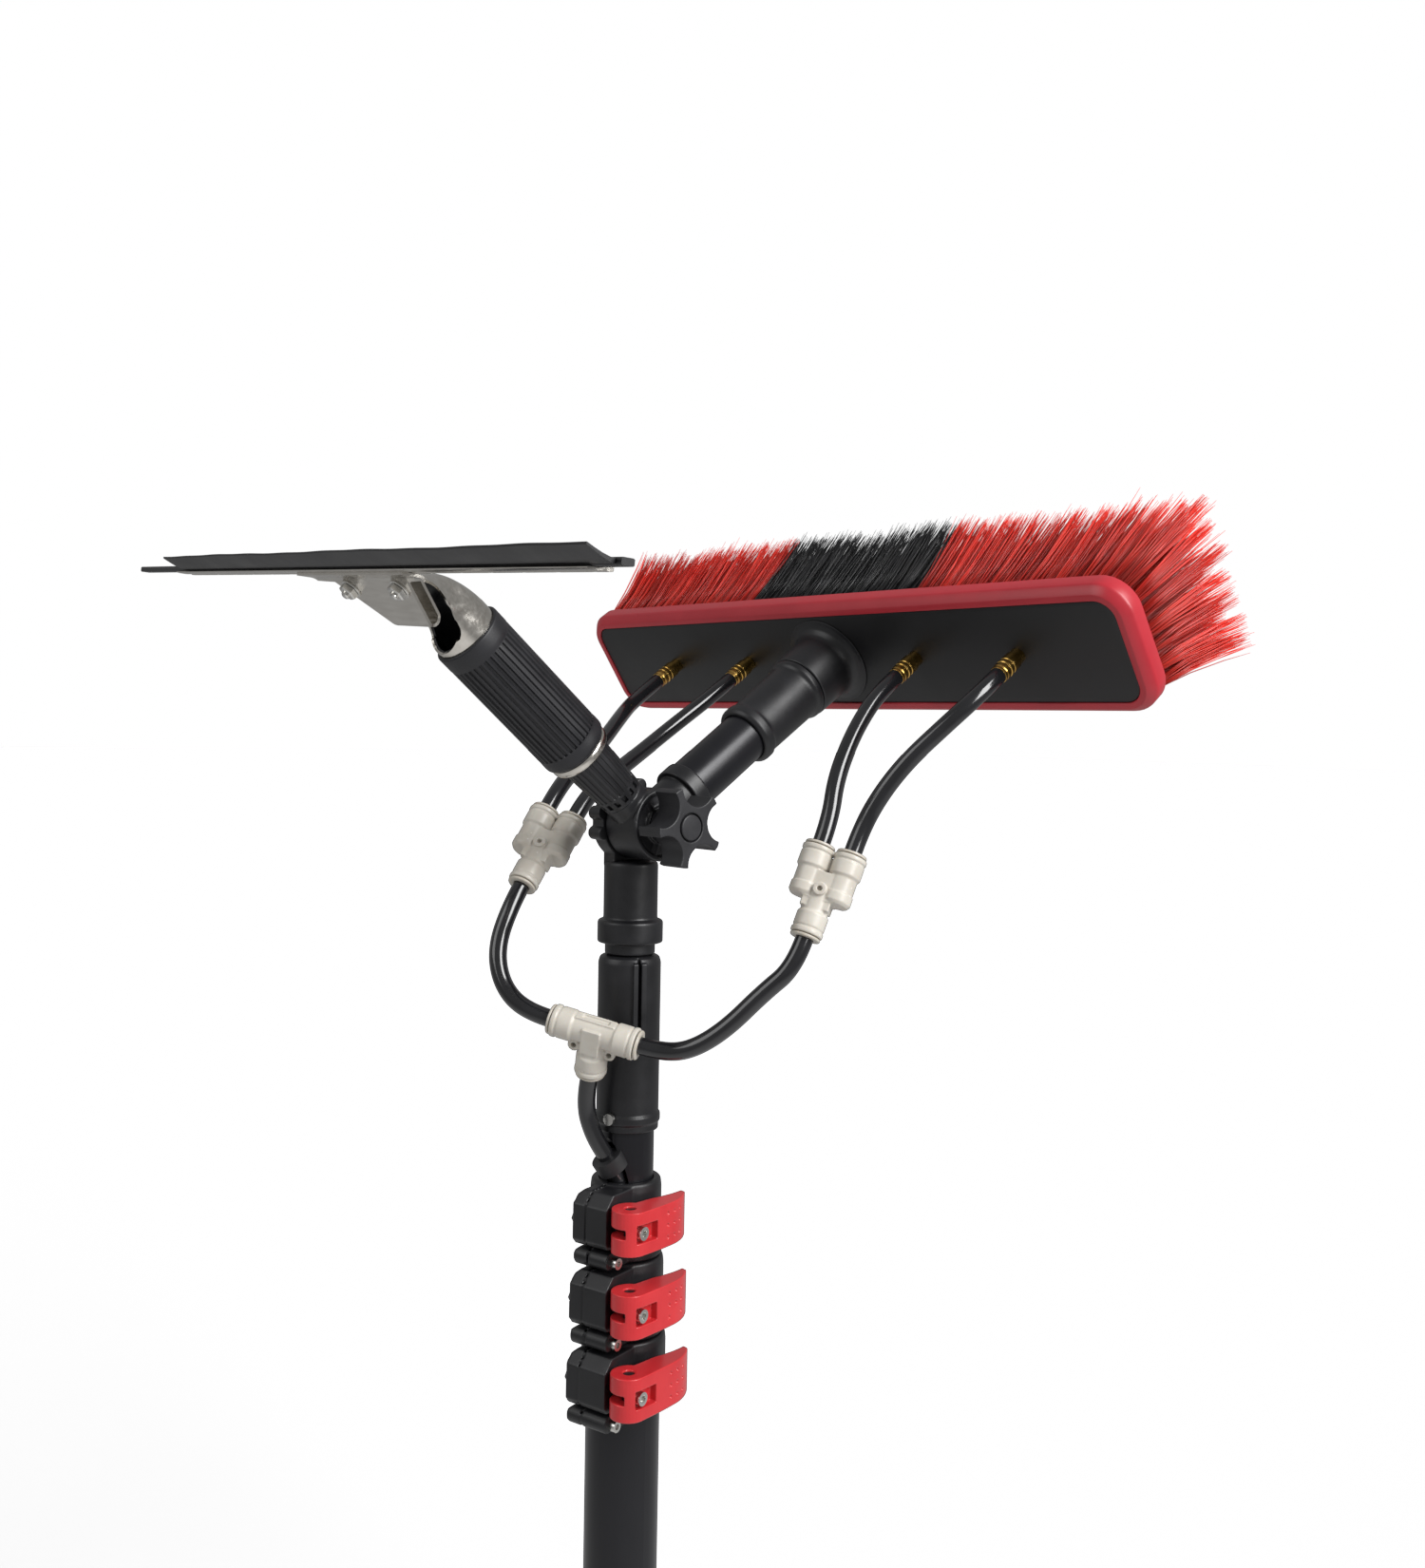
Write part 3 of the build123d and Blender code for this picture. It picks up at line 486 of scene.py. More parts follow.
# The bends of each hose, from where it leaves to where it ends.
ROUTES = {
    "hose_feed": [(5.0, -4.6, -174.5), (3.6, -11.5, -160.5), (1.2, -21.4, -145.0), (-0.2, -25.6, -128.8),
                  TEE_FOOT],
    "hose_tee_left": [TEE_LEFT, TEE_LEFT - TEE_RUN * 13.0, (-24.5, -55.5, -75.5), (-31.5, -54.5, -59.5),
                      LEFT_FOOT - LEFT_AXIS * 13.0, LEFT_FOOT],
    "hose_tee_right": [TEE_RIGHT, TEE_RIGHT + TEE_RUN * 11.0, (52.0, -5.5, -98.7), (64.5, 3.5, -88.5),
                       (77.0, 14.0, -71.5), RIGHT_FOOT - RIGHT_AXIS * 14.0, RIGHT_FOOT],
    "hose_brush_1": [LEFT_A, LEFT_A + LEFT_AXIS * 18.0, (-62.5, 15.0, 23.5), (-78.0, 40.0, 34.5),
                     (-93.0, 66.0, 50.5), barb_end(-120.0) - BRUSH_DIR * 22.0, barb_end(-120.0)],
    "hose_brush_2": [LEFT_B, LEFT_B + LEFT_AXIS * 15.0, (-44.0, 24.0, 21.5), (-50.0, 48.0, 33.5),
                     (-51.0, 70.0, 47.0), barb_end(-59.0) - BRUSH_DIR * 18.0, barb_end(-59.0)],
    "hose_brush_3": [RIGHT_A, RIGHT_A + RIGHT_AXIS * 13.0, (77.0, 57.5, 22.0), (74.0, 68.5, 38.0),
                     (71.8, 80.0, 51.0), barb_end(59.0) - BRUSH_DIR * 15.0, barb_end(59.0)],
    "hose_brush_4": [RIGHT_B, RIGHT_B + RIGHT_AXIS * 13.0, (101.0, 62.0, 17.0), (109.5, 69.5, 32.0),
                     (120.5, 78.5, 46.0), barb_end(120.0) - BRUSH_DIR * 16.0, barb_end(120.0)],
}


def spline_points(name):
    """Points along the smooth NURBS line of a hose, in the row frame."""
    control = [TO_ROW @ Vector(p) for p in ROUTES[name]]
    curve = bpy.data.curves.new(name + "_line", "CURVE")
    curve.dimensions = "3D"
    curve.resolution_u = 10
    line = curve.splines.new("NURBS")
    line.points.add(len(control) - 1)
    for point, place in zip(line.points, control):
        point.co = (*place, 1.0)
    line.order_u = 3
    line.use_endpoint_u = True
    holder = linked(name + "_line", curve)
    bpy.context.view_layer.update()
    solved = holder.evaluated_get(bpy.context.evaluated_depsgraph_get())
    mesh = bpy.data.meshes.new_from_object(solved)
    points = [v.co.copy() for v in mesh.vertices]
    bpy.data.meshes.remove(mesh)
    bpy.data.objects.remove(holder)
    bpy.data.curves.remove(curve)
    return points


def make_hose(name):
    """Round glossy hose swept along its line, with flat closed ends."""
    path = spline_points(name)
    inward = TO_ROW.inverted()
    line = [inward @ p for p in path]
    sides = 32
    across = (line[1] - line[0]).orthogonal().normalized()
    rings = []
    for i, here in enumerate(line):
        along = (line[min(i + 1, len(line) - 1)] - line[max(i - 1, 0)]).normalized()
        across = (across - along * across.dot(along)).normalized()
        up = along.cross(across)
        r = HOSE_R
        rings.append([here + (across * cos(a) + up * sin(a)) * r
                      for a in (2 * pi * k / sides for k in range(sides))])
    form = Form().stack(POLE, rings)
    hose = build(name + "_tube", form, "hose_black", angle=60)
    return hose, path


def port(form, place, length, r=7.4):
    """Arm of a push-in fitting, with the thicker mouth and the ridge round it."""
    form.lathe(place, [(0, 0), (r - 1.0, 0), (r - 1.0, length - 12.2), (r - 0.1, length - 11.0),
                       (r - 0.1, length - 5.0), (r - 0.5, length - 4.6), (r - 0.5, length - 4.0),
                       (r + 0.1, length - 3.6), (r + 0.1, length - 1.9), (r - 0.4, length - 1.6),
                       (0, length - 1.6)])


def release_collar(form, place, length):
    """Release collar with its narrow gap to the port and a rounded lip."""
    form.lathe(place, [(HOSE_R + 0.02, length - 3.0), (5.2, length - 3.0), (5.2, length - 1.2),
                       (6.7, length - 1.1), (6.9, length - 0.7), (6.7, length), (5.4, length + 0.3),
                       (HOSE_R + 0.02, length + 0.1)], radius=0.25, sides=64)


def make_tee():
    facing = TEE_RUN.cross(TEE_DOWN).normalized()
    right = frame_at(TEE_CENTRE, TEE_RUN, TEE_DOWN)
    left = frame_at(TEE_CENTRE, -TEE_RUN, TEE_DOWN)
    down = frame_at(TEE_CENTRE, TEE_DOWN, TEE_RUN)
    form = Form()
    for place, length in ((right, TEE_HALF), (left, TEE_HALF), (down, TEE_BRANCH)):
        port(form, place, length)
    form.box(right, (-6.9, 4.0), (-2.6, 2.6), (-9.4, 9.4))
    form.box(down, (-4.4, 4.4), (-6.6, 6.6), (-4.0, 9.0))
    for side in (-1, 1):
        hub = TEE_CENTRE + TEE_RUN * (8.6 * side) + TEE_DOWN * 8.4
        eye = frame_at(hub, facing, TEE_RUN)
        form.lathe(eye, [(1.3, -3.0), (2.8, -3.0), (2.8, 3.0), (1.3, 3.0)], sides=32)
        lug = frame_at(hub - TEE_RUN * (2.6 * side), facing, TEE_RUN)
        form.box(lug, (-1.6, 1.6), (-1.4, 1.4), (-1.6, 1.6))
    tee = moulded("tee", form, "fitting_white", "top_section", "tee_fitting", 0.34,
                  Form().box(right, (-9.5, -5.9), (-1.5, 1.5), (-6.5, 6.5)))
    rings = Form()
    for place, length in ((right, TEE_HALF), (left, TEE_HALF), (down, TEE_BRANCH)):
        release_collar(rings, place, length)
    return [tee, piece("tee_release_collars", rings, "collar_grey", "top_section", "tee_collars")]


def make_wye(side_name, foot, axis, side):
    """Y fitting with one port below, two above, a web between them and an eyelet on its face."""
    half = WYE_LENGTH / 2
    middle = foot + axis * half
    facing = axis.cross(side).normalized()
    form = Form()
    down = frame_at(middle, -axis, side)
    port(form, down, half, 7.2)
    tops = []
    for sign in (-1, 1):
        top = frame_at(middle + side * (sign * WYE_PITCH / 2), axis, side)
        tops.append(top)
        port(form, top, half)
        form.lathe(top, [(0, -3.5), (5.8, -3.5), (6.9, -2.0), (6.9, 2.0), (0, 2.0)])
    web = frame_at(middle, axis, side)
    form.box(web, (-WYE_PITCH / 2, WYE_PITCH / 2), (-5.4, 5.4), (-4.0, 9.0))
    form.box(web, (-6.6, 6.6), (-5.0, 5.0), (-8.0, -1.0))
    for sign in (-1, 1):
        eye = frame_at(middle + axis * 0.5, facing * sign, side)
        form.lathe(eye, [(1.2, 3.0), (3.0, 3.0), (3.0, 7.6), (1.2, 7.6)], sides=32)
    wye = moulded(f"wye_{side_name}", form, "fitting_white", "head", f"wye_{side_name}_fitting", 0.34)
    rings = Form()
    for mouth in (down, *tops):
        release_collar(rings, mouth, half)
    return [wye, piece(f"wye_{side_name}_release_collars", rings, "collar_grey", "head", "wye_collars")]


tee_pieces = make_tee()
left_pieces = make_wye("left", LEFT_FOOT, LEFT_AXIS, LEFT_SIDE)
right_pieces = make_wye("right", RIGHT_FOOT, RIGHT_AXIS, RIGHT_SIDE)

# Real length of each hose between its two ends, in metres, and the pieces on it.
HOSES = {
    "hose_feed": ("top_section", 0.0665, "fitting", tee_pieces),
    "hose_tee_left": (None, 0.0789, "fitting", left_pieces),
    "hose_tee_right": (None, 0.0977, "fitting", right_pieces),
    "hose_brush_1": ("head", 0.1534, "object", []),
    "hose_brush_2": ("head", 0.1351, "object", []),
    "hose_brush_3": ("head", 0.1009, "object", []),
    "hose_brush_4": ("head", 0.1084, "object", []),
}
for hose_name, (body, length, far_end, on_it) in HOSES.items():
    hose, path = make_hose(hose_name)
    if body:
        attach(hose, body)
    else:
        tuple(path[0])
        tuple(path[-1])
        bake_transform(hose)
    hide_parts(hose_name)
    tuple(path[0])
    [tuple(p) for p in path]
    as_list(on_it)


# ---------------------------------------------------------------- clamps
CLAMP_PITCH, CLAMP_HEIGHT, TOP_CLAMP_FOOT, CLAMP_TURN = 37.0, 36.6, -205.0, radians(12.7)
TUBE_OD = [35.0, 31.8, 28.6, 25.4]
LEVER_LOW, LEVER_HIGH = 10.9, 31.0
LEVER_MID = (LEVER_LOW + LEVER_HIGH) / 2
ROOT_R = 8.5
EAR_BACK = -7.5
PIN_R, DRAW_R = 2.6, 1.5
SLIT_LOW, SLIT_HIGH = 9.0, 10.4


def arc3(a, b, c, steps=10):
    """Points along the circle through a, b and c, without the last."""
    a, b, c = complex(*a), complex(*b), complex(*c)
    w = (c - a) / (b - a)
    centre = a + (b - a) * (w - abs(w) ** 2) / (w - w.conjugate())
    first, mid, last = (cmath.phase(p - centre) for p in (a, b, c))
    turn = (last - first) % (2 * pi)
    if (mid - first) % (2 * pi) > turn:
        turn -= 2 * pi
    around = [centre + cmath.rect(abs(a - centre), first + turn * k / steps) for k in range(steps)]
    return [(p.real, p.imag) for p in around]


def lever_outline(x0, y0):
    low, far = (x0 + ROOT_R, y0), (x0 + 9.6, -5.0)
    tip_out, tip_in = (x0 + 4.6, 11.5), (x0 + 1.8, 12.2)
    knee, root_in, root_out = (x0 - 1.6, -6.0), (x0 - 3.2, y0 + 7.87), (x0 - 3.2, y0 - 7.87)
    return (arc3(low, (x0 + 9.3, (y0 - 5.0) / 2), far) + arc3(far, (x0 + 8.3, 4.2), tip_out) + [tip_out]
            + arc3(tip_in, (x0 + 1.0, 3.0), knee) + [knee]
            + arc3(root_in, (x0 - ROOT_R, y0), root_out, 16) + arc3(root_out, (x0 + 6.0, y0 - 6.02), low))


def on_curve(outline, y):
    """X of the outer side of a lever at height y of its outline."""
    best = None
    for (x1, y1), (x2, y2) in zip(outline, outline[1:]):
        if min(y1, y2) <= y <= max(y1, y2) and y1 != y2:
            x = x1 + (x2 - x1) * (y - y1) / (y2 - y1)
            best = x if best is None else max(best, x)
    return best


def make_clamp(i):
    n = i + 1
    r_out = TUBE_OD[2 - i] / 2 + 3.0
    x0, y0 = r_out + 4.3, -(r_out + 6.5)
    place = shift(0, 0, TOP_CLAMP_FOOT - CLAMP_PITCH * i) @ Matrix.Rotation(CLAMP_TURN, 4, "Z")
    lying = place @ frame_at((0, 0, 0), (1, 0, 0), (0, 1, 0))
    near = x0 - ROOT_R - 0.5
    body_name = ["section_3", "section_2", "outer_section"][i]

    form = Form()
    form.lathe(place, [(0, 0.1), (r_out - 0.8, 0.1), (r_out, 0.9), (r_out, 9.4), (r_out - 0.6, 10.0),
                       (r_out - 0.6, CLAMP_HEIGHT - 4.0), (r_out - 1.0, CLAMP_HEIGHT - 0.8),
                       (r_out - 1.8, CLAMP_HEIGHT), (0, CLAMP_HEIGHT)], sides=96)
    back = -r_out * 0.4
    upper = [(back, SLIT_HIGH), (back, CLAMP_HEIGHT - 1.0), (y0 - 1.0, CLAMP_HEIGHT - 1.6),
             (y0 - 6.2, CLAMP_HEIGHT - 7.5), (y0 - 6.4, SLIT_HIGH + 2.6), (y0 - 4.4, SLIT_HIGH)]
    form.prism(lying, upper, EAR_BACK + 0.2, near)
    lug = [(back, 0.1), (back, SLIT_LOW)]
    lug += [(y0 + 1.0 + 5.6 * cos(a), 3.9 + 4.8 * sin(a))
            for a in (radians(90 + 20 * k) for k in range(10))]
    lug = [(y, min(max(z, 0.1), SLIT_LOW)) for y, z in lug]
    form.prism(lying, lug, EAR_BACK - 0.6, near - 1.0)
    split = Form().box(place, (-30, 30), (-60, r_out * 0.35), (SLIT_LOW, SLIT_HIGH))
    for top, back_off, drop in ((CLAMP_HEIGHT, 4.5, 4.0), (SLIT_LOW, 2.5, 2.0)):
        corner = [(EAR_BACK + back_off * (1 + 1 / drop), top + 1), (EAR_BACK - 3, top + 1),
                  (EAR_BACK - 3, top - drop - 3 * drop / back_off)]
        facing = place @ frame_at((0, -r_out, 0), (0, -1, 0), (1, 0, 0))
        split.prism(facing, corner, 0.5, 30.0)
    r_tube, r_grip = TUBE_OD[2 - i] / 2 - 0.2, TUBE_OD[3 - i] / 2 + 0.3
    bore = Form().lathe(place, [(0, -1), (r_tube, -1), (r_tube, 12.0), (r_grip, 12.0),
                                (r_grip, CLAMP_HEIGHT + 1), (0, CLAMP_HEIGHT + 1)], sides=96)
    bore.box(place, (-0.5, 0.5), (-60, -r_grip + 1), (SLIT_HIGH - 0.5, CLAMP_HEIGHT + 1))
    bore.box(place, (-0.5, 0.5), (-60, -r_tube + 1), (-1, SLIT_HIGH - 0.6))
    moulded(f"clamp_{n}_housing", form, "black_plastic", body_name, f"clamp_{n}_body", 0.5, split, bore,
            rounds=4)

    outline = lever_outline(x0, y0)
    window = Form().box(place, (x0 + 5.4, x0 + 12), (y0 - 4.0, y0 + 9.0), (LEVER_MID - 4.2, LEVER_MID + 4.2))
    half = DRAW_R + 0.6
    slot = Form()
    slot.rod(place @ shift(x0, y0, 0), PIN_R + 1.0, LEVER_MID - half, LEVER_MID + half)
    for k in range(6):
        swing = shift(x0, y0, 0) @ Matrix.Rotation(radians(20 * k), 4, "Z")
        slot.box(place @ swing, (-14.0 - 0.05 * k, 0.02 * k), (-half - 0.01 * k, half + 0.01 * k),
                 (LEVER_MID - half - 0.01 * k, LEVER_MID + half + 0.01 * k))
    holes = Form()
    holes.rod(place @ shift(x0, y0, 0), PIN_R + 0.15, 0, 40, sides=40)
    for y in (-7.5, -2.5, 2.5):
        for row in range(3):
            z = LEVER_MID + (row - 1) * 5.6
            x = on_curve(outline, y)
            pit = place @ frame_at((x, y, z), (1, 0, 0), (0, 0, 1))
            holes.lathe(pit, [(0, -0.9), (0.7, -0.8), (0.9, 0.0), (0.9, 2.0), (0, 2.0)], sides=20)
    moulded(f"clamp_{n}_flip_lever", Form().prism(place, outline, LEVER_LOW, LEVER_HIGH), "lever_red",
            f"lever_{n}", f"clamp_{n}_lever", 0.32, window, slot, holes)


for clamp_index in range(3):
    make_clamp(clamp_index)


# ---------------------------------------------------------------- socket, tilt joint and knob
EAR_R, EAR_X = 18.0, (-7.0, 1.0)
YOKE_X, YOKE_R, BOLT_R = (1.4, 23.4), 16.8, 4.0
ALONG_X = frame_at((0, 0, 0), (1, 0, 0), (0, 1, 0))


def make_stem():
    """Collar and plug under the joint, with the fixed lobed ear."""
    form = Form()
    form.lathe(POLE, [(0, -70), (10.2, -70), (10.2, -62), (11.7, -62), (11.7, -56.6), (15.3, -56.4),
                      (15.3, -46.7), (14.6, -46.0), (12.6, -45.4), (12.6, -19.5), (11.8, -18.2), (0, -18.2)],
               radius=0.7, sides=96)
    form.rod(ALONG_X, EAR_R, EAR_X[0], EAR_X[1], sides=96)
    for k in range(12):
        a = radians(30.0 * k + 15.0)
        if sin(a) > -0.6:
            lobe = ALONG_X @ shift(*polar(EAR_R, a), 0)
            form.rod(lobe, 3.1, EAR_X[0], EAR_X[1], sides=32)
    form.box(POLE, EAR_X, (-11.0, 11.0), (-20.0, -8.0))
    moulded("joint_stem", form, "black_plastic", "top_section", "hub_stem", 0.45)


def make_yoke():
    """Tilting head of the joint, with a rimmed, spoked face and a stub for each arm."""
    form = Form()
    low, high = YOKE_X
    form.lathe(ALONG_X, [(0, low), (YOKE_R, low), (YOKE_R, high), (YOKE_R - 2.2, high),
                         (YOKE_R - 2.2, high - 1.6), (9.0, high - 1.6), (9.0, high), (0, high)],
               radius=0.5, sides=96)
    for k in range(6):
        spoke = ALONG_X @ Matrix.Rotation(radians(60 * k + 12), 4, "Z")
        form.box(spoke, (7.5, YOKE_R - 1.0), (-1.1, 1.1), (high - 2.5, high - 0.3))
    form.rod(BRUSH, 11.2, 8.0, 22.6, sides=80)
    form.lathe(BRUSH, [(0, 22.0), (13.6, 22.0), (13.6, 30.0), (11.2, 30.0), (11.2, 48.0), (0, 48.0)],
               radius=0.7)
    form.rod(HANDLE, 10.3, 8.0, 21.0, sides=80)
    form.rod(HANDLE, 8.0, 20.0, 50.0, sides=64)
    moulded("joint_yoke", form, "black_plastic", "head", "hub_yoke", 0.45)


KNOB_ARMS, KNOB_TIP, KNOB_CORE, KNOB_TURN = 5, 18.3, 9.6, radians(42.0)


def star_outline():
    """Five arms with scooped sides, blunt at their tips."""
    pitch = 2 * pi / KNOB_ARMS
    tip_half = 2.3 / KNOB_TIP
    points = []
    for k in range(KNOB_ARMS):
        a = KNOB_TURN + k * pitch
        start, end = polar(KNOB_TIP, a + tip_half), polar(KNOB_TIP, a + pitch - tip_half)
        points.append(polar(KNOB_TIP * 1.015, a))
        points += arc3(start, polar(KNOB_CORE, a + pitch / 2), end, 18) + [end]
    return points


def make_knob():
    form = Form()
    form.prism(ALONG_X, star_outline(), 28.0, 43.0)
    form.rod(ALONG_X, 8.6, 24.0, 30.0, sides=64)
    moulded("star_knob", form, "knob_plastic", "knob", "hub_knob", 0.32,
            Form().rod(ALONG_X, BOLT_R + 0.05, 20, 37, sides=48),
            Form().rod(ALONG_X, 6.7, 41.2, 45, sides=64))
    cap = Form().lathe(ALONG_X, [(0, 40.9), (5.9, 40.9), (5.9, 42.9), (5.5, 43.3), (0, 43.4)], radius=0.2)
    piece("knob_cover", cap, "cap_plastic", "knob", "hub_knob_cap")


def make_socket():
    """Sleeve on the top tube with a rounded mouth, a split clamping rib and a flange round its foot."""
    form = Form()
    form.lathe(POLE, [(12.75, -145), (14.6, -145), (14.6, -141.6), (15.4, -141.0), (15.4, -137.6),
                      (14.6, -137.0), (14.65, -65.8), (13.9, -63.4), (12.4, -62.6), (10.3, -62.6),
                      (10.3, -66.0), (12.75, -66.0)],
               radius=0.5, sides=120)
    rib = Matrix.Rotation(radians(-20.0), 4, "Z")
    form.box(rib, (13.0, 15.9), (-3.2, 3.2), (-98.0, -65.0))
    moulded("pole_sleeve", form, "black_plastic", "top_section", "pole_socket", 0.42,
            Form().box(rib, (12.0, 18.0), (-0.7, 0.7), (-97.0, -62.0)))


make_stem()
make_yoke()
make_knob()
make_socket()


# ---------------------------------------------------------------- brush
PLATE_L, PLATE_W, BACK_Z, BRISTLE_LENGTH = 361.0, 57.0, 154.7, 60.0
BLACK_HALF = 58.0
BARBS_AT = (-120.0, -59.0, 59.0, 120.0)
TUFT_PITCH, TUFT_ROWS, TUFT_STRANDS, TUFTS_WIDE = 7.7, 7, 52, 49.0
TUFT_ROOT_R, TUFT_TIP_R, END_LEAN, SIDE_LEAN = 2.1, 4.6, 15.0, 0.44
STRAND_RINGS = ((0.0, 0.31), (0.4, 0.31), (0.75, 0.25), (1.0, 0.09))     # share of the length, radius


def rounded_rectangle(grow, z, corner=12.0):
    """Outline of the plate grown by grow, at height z."""
    half_x, half_y, r = PLATE_L / 2 + grow, PLATE_W / 2 + grow, max(corner + grow, 1.0)
    points = []
    for quarter, (cx, cy) in enumerate([(1, 1), (-1, 1), (-1, -1), (1, -1)]):
        for k in range(11):
            a = radians(90 * quarter + 9 * k)
            points.append((cx * (half_x - r) + r * cos(a), cy * (half_y - r) + r * sin(a), z))
    return points


def make_block():
    face = BRUSH_REACH
    rim = [(-2.6, face + 3.0), (-2.6, face + 0.3), (-2.3, face), (0.2, face), (0.7, face + 0.2),
           (3.4, face + 3.4), (3.9, face + 4.2), (4.0, face + 4.9), (4.0, BACK_Z - 1.0), (3.7, BACK_Z - 0.3),
           (3.0, BACK_Z), (-9.0, BACK_Z), (-9.0, face + 3.0)]
    form = Form().loop(BRUSH, [rounded_rectangle(grow, z) for grow, z in rim])
    form.stack(BRUSH, [rounded_rectangle(-8.8, z) for z in (face + 3.2, BACK_Z - 0.4)])
    piece("brush_rim", form, "block_red", "head", "brush_block", angle=35)
    plate = [(-2.8, face + 2.9), (-2.8, face + 1.0), (-3.0, face + 0.7), (-3.6, face + 0.5)]
    form = Form().stack(BRUSH, [rounded_rectangle(grow, z) for grow, z in plate])
    piece("brush_inset", form, "plate_black", "head", "brush_plate")
    neck = [(11.0, 117.2), (16.6, 117.2), (17.0, 117.8), (17.4, 136.6), (18.0, 138.8), (19.6, 141.0),
            (22.4, 142.3), (24.0, 142.5), (24.0, 143.1), (11.0, 143.1)]
    form = Form().lathe(BRUSH, neck, radius=0.8, sides=96)
    piece("brush_flared_neck", form, "black_plastic", "head", "brush_neck", angle=50)
    sleeve = [(12.55, 72), (14.0, 72), (15.3, 73.6), (15.5, 74.6), (15.5, 77.6), (14.7, 79.2), (14.6, 81.0),
              (15.1, 111.0), (15.4, 112.4), (16.6, 114.0), (16.6, 116.9), (12.55, 116.9)]
    form = Form().lathe(BRUSH, sleeve, radius=0.7, sides=96)
    piece("brush_stepped_sleeve", form, "black_plastic", "head", "brush_sleeve", angle=50)
    form = Form()
    for u in BARBS_AT:
        barb = BRUSH @ shift(u, 0, face)
        form.lathe(barb, [(0, 0.5), (3.9, 0.5), (3.9, -3.4), (4.4, -3.7), (4.4, -8.6), (4.1, -8.9),
                          (4.1, -9.6), (4.5, -9.9), (4.5, -11.4), (4.1, -11.7), (4.1, -12.4), (4.5, -12.7),
                          (4.4, -14.4), (4.2, -15.0), (4.2, -BARB_LENGTH), (0, -BARB_LENGTH)],
                   radius=0.12, sides=48)
    piece("hose_barbs", form, "brass", "head", "brass_barbs")


def make_tufts(name, stands_for, finish, low, high, seed):
    """Tufts of tapered bristles that open towards their tips and lean outwards at the block's ends."""
    rng = random.Random(seed)
    columns = round((high - low) / TUFT_PITCH)
    points, faces, tones_with_root_shade = [], [], []
    for column in range(columns + 1):
        for row in range(TUFT_ROWS):
            u = low + 2.2 + (high - low - 4.4) * column / columns + rng.uniform(-0.5, 0.5)
            w = TUFTS_WIDE * (row / (TUFT_ROWS - 1) - 0.5) + rng.uniform(-0.5, 0.5)
            lean = Vector((END_LEAN * abs(u / 180.0) ** 4 * copysign(1, u) + rng.gauss(0, 0.8),
                           w * SIDE_LEAN + rng.gauss(0, 0.8), 0))
            tuft_tone, tuft_reach = rng.uniform(0.80, 1.06), rng.uniform(0.955, 1.0)
            for _ in range(TUFT_STRANDS):
                b, out = rng.uniform(0, 2 * pi), sqrt(rng.uniform(0, 1))
                side = Vector((*polar(1, b), 0))
                root = Vector((u, w, BACK_Z - 0.8)) + side * (TUFT_ROOT_R * out)
                stray = Vector((rng.gauss(0, 1.2), rng.gauss(0, 1.2), 0)) * (0.4 + out)
                reach = BRISTLE_LENGTH * tuft_reach * (1.0 - 0.07 * out * out - abs(rng.gauss(0, 0.028)))
                end = Vector((u, w, BACK_Z + max(reach, 48.0))) + side * (TUFT_TIP_R * out) + lean + stray
                bow = Vector((rng.gauss(0, 0.4), rng.gauss(0, 0.4), 0)) - lean * 0.12
                tone = tuft_tone * rng.uniform(0.80, 1.16)
                start = len(points)
                for t, r in STRAND_RINGS:
                    centre = root.lerp(end, t) + bow * (4 * t * (1 - t))
                    # Each strand darkens towards its root and lightens towards its tip: painted shade among
                    # the tufts, on top of its own random tone.
                    shade = tone * (0.46 + 0.58 * t)
                    for k in range(3):
                        c = 2 * pi * k / 3 + b
                        points.append(BRUSH @ (centre + Vector((*polar(r, c), 0))))
                        tones_with_root_shade += [shade, shade, shade, 1.0]
                for ring in range(3):
                    for k in range(3):
                        n = (k + 1) % 3
                        faces.append([start + ring * 3 + k, start + ring * 3 + n,
                                      start + ring * 3 + 3 + n, start + ring * 3 + 3 + k])
                faces.append([start + 2, start + 1, start])
                faces.append([start + 9, start + 10, start + 11])
    mesh = bpy.data.meshes.new(name)
    mesh.from_pydata([TO_ROW @ p for p in points], [], faces)
    # The tone attribute carries each strand's random tone together with the painted root shade.
    mesh.attributes.new("tone", "FLOAT_COLOR", "POINT").data.foreach_set("color", tones_with_root_shade)
    mesh.materials.append(MATS[finish])
    mesh.shade_smooth()
    settle(linked(name, mesh), "head", finish, stands_for)


make_block()
make_tufts("tufts_red_left", "bristles_red_left", "bristle_red", -178.5, -BLACK_HALF - 0.5, 11)
make_tufts("tufts_black", "bristles_black", "bristle_black", -BLACK_HALF, BLACK_HALF, 12)
make_tufts("tufts_red_right", "bristles_red_right", "bristle_red", BLACK_HALF + 0.5, 178.5, 13)


# ---------------------------------------------------------------- squeegee
def pipe(place, outer, inner_r, stations, sides, name, finish, node_name):
    """Closed pipe on the head whose outer radius is outer(angle, station)."""
    def ring(radius, s):
        turns = [2 * pi * k / sides for k in range(sides)]
        return [(*polar(radius(a, s), a), s) for a in turns]
    rings = [ring(outer, s) for s in stations]
    rings += [ring(lambda a, s: inner_r, s) for s in (stations[-1], stations[0])]
    piece(name, Form().loop(place, rings), finish, "head", node_name, angle=30.0)


def band(t, width):
    """1 inside a band about whole numbers of t, falling smoothly to 0 outside."""
    away = abs(t - round(t)) / width
    return 1.0 if away < 0.75 else max(0.0, 1.0 - (away - 0.75) / 0.25)


def cone_radius(a, s):
    base = 10.4 + 1.4 * (s - 21.2) / 29.8
    turns = a / (2 * pi)
    if 22.8 < s < 25.9:
        return base - 1.3 * band(turns * 15, 0.27)
    if 27.3 < s < 50.5:
        return base - 0.5 * band(turns * 26, 0.22)
    return base


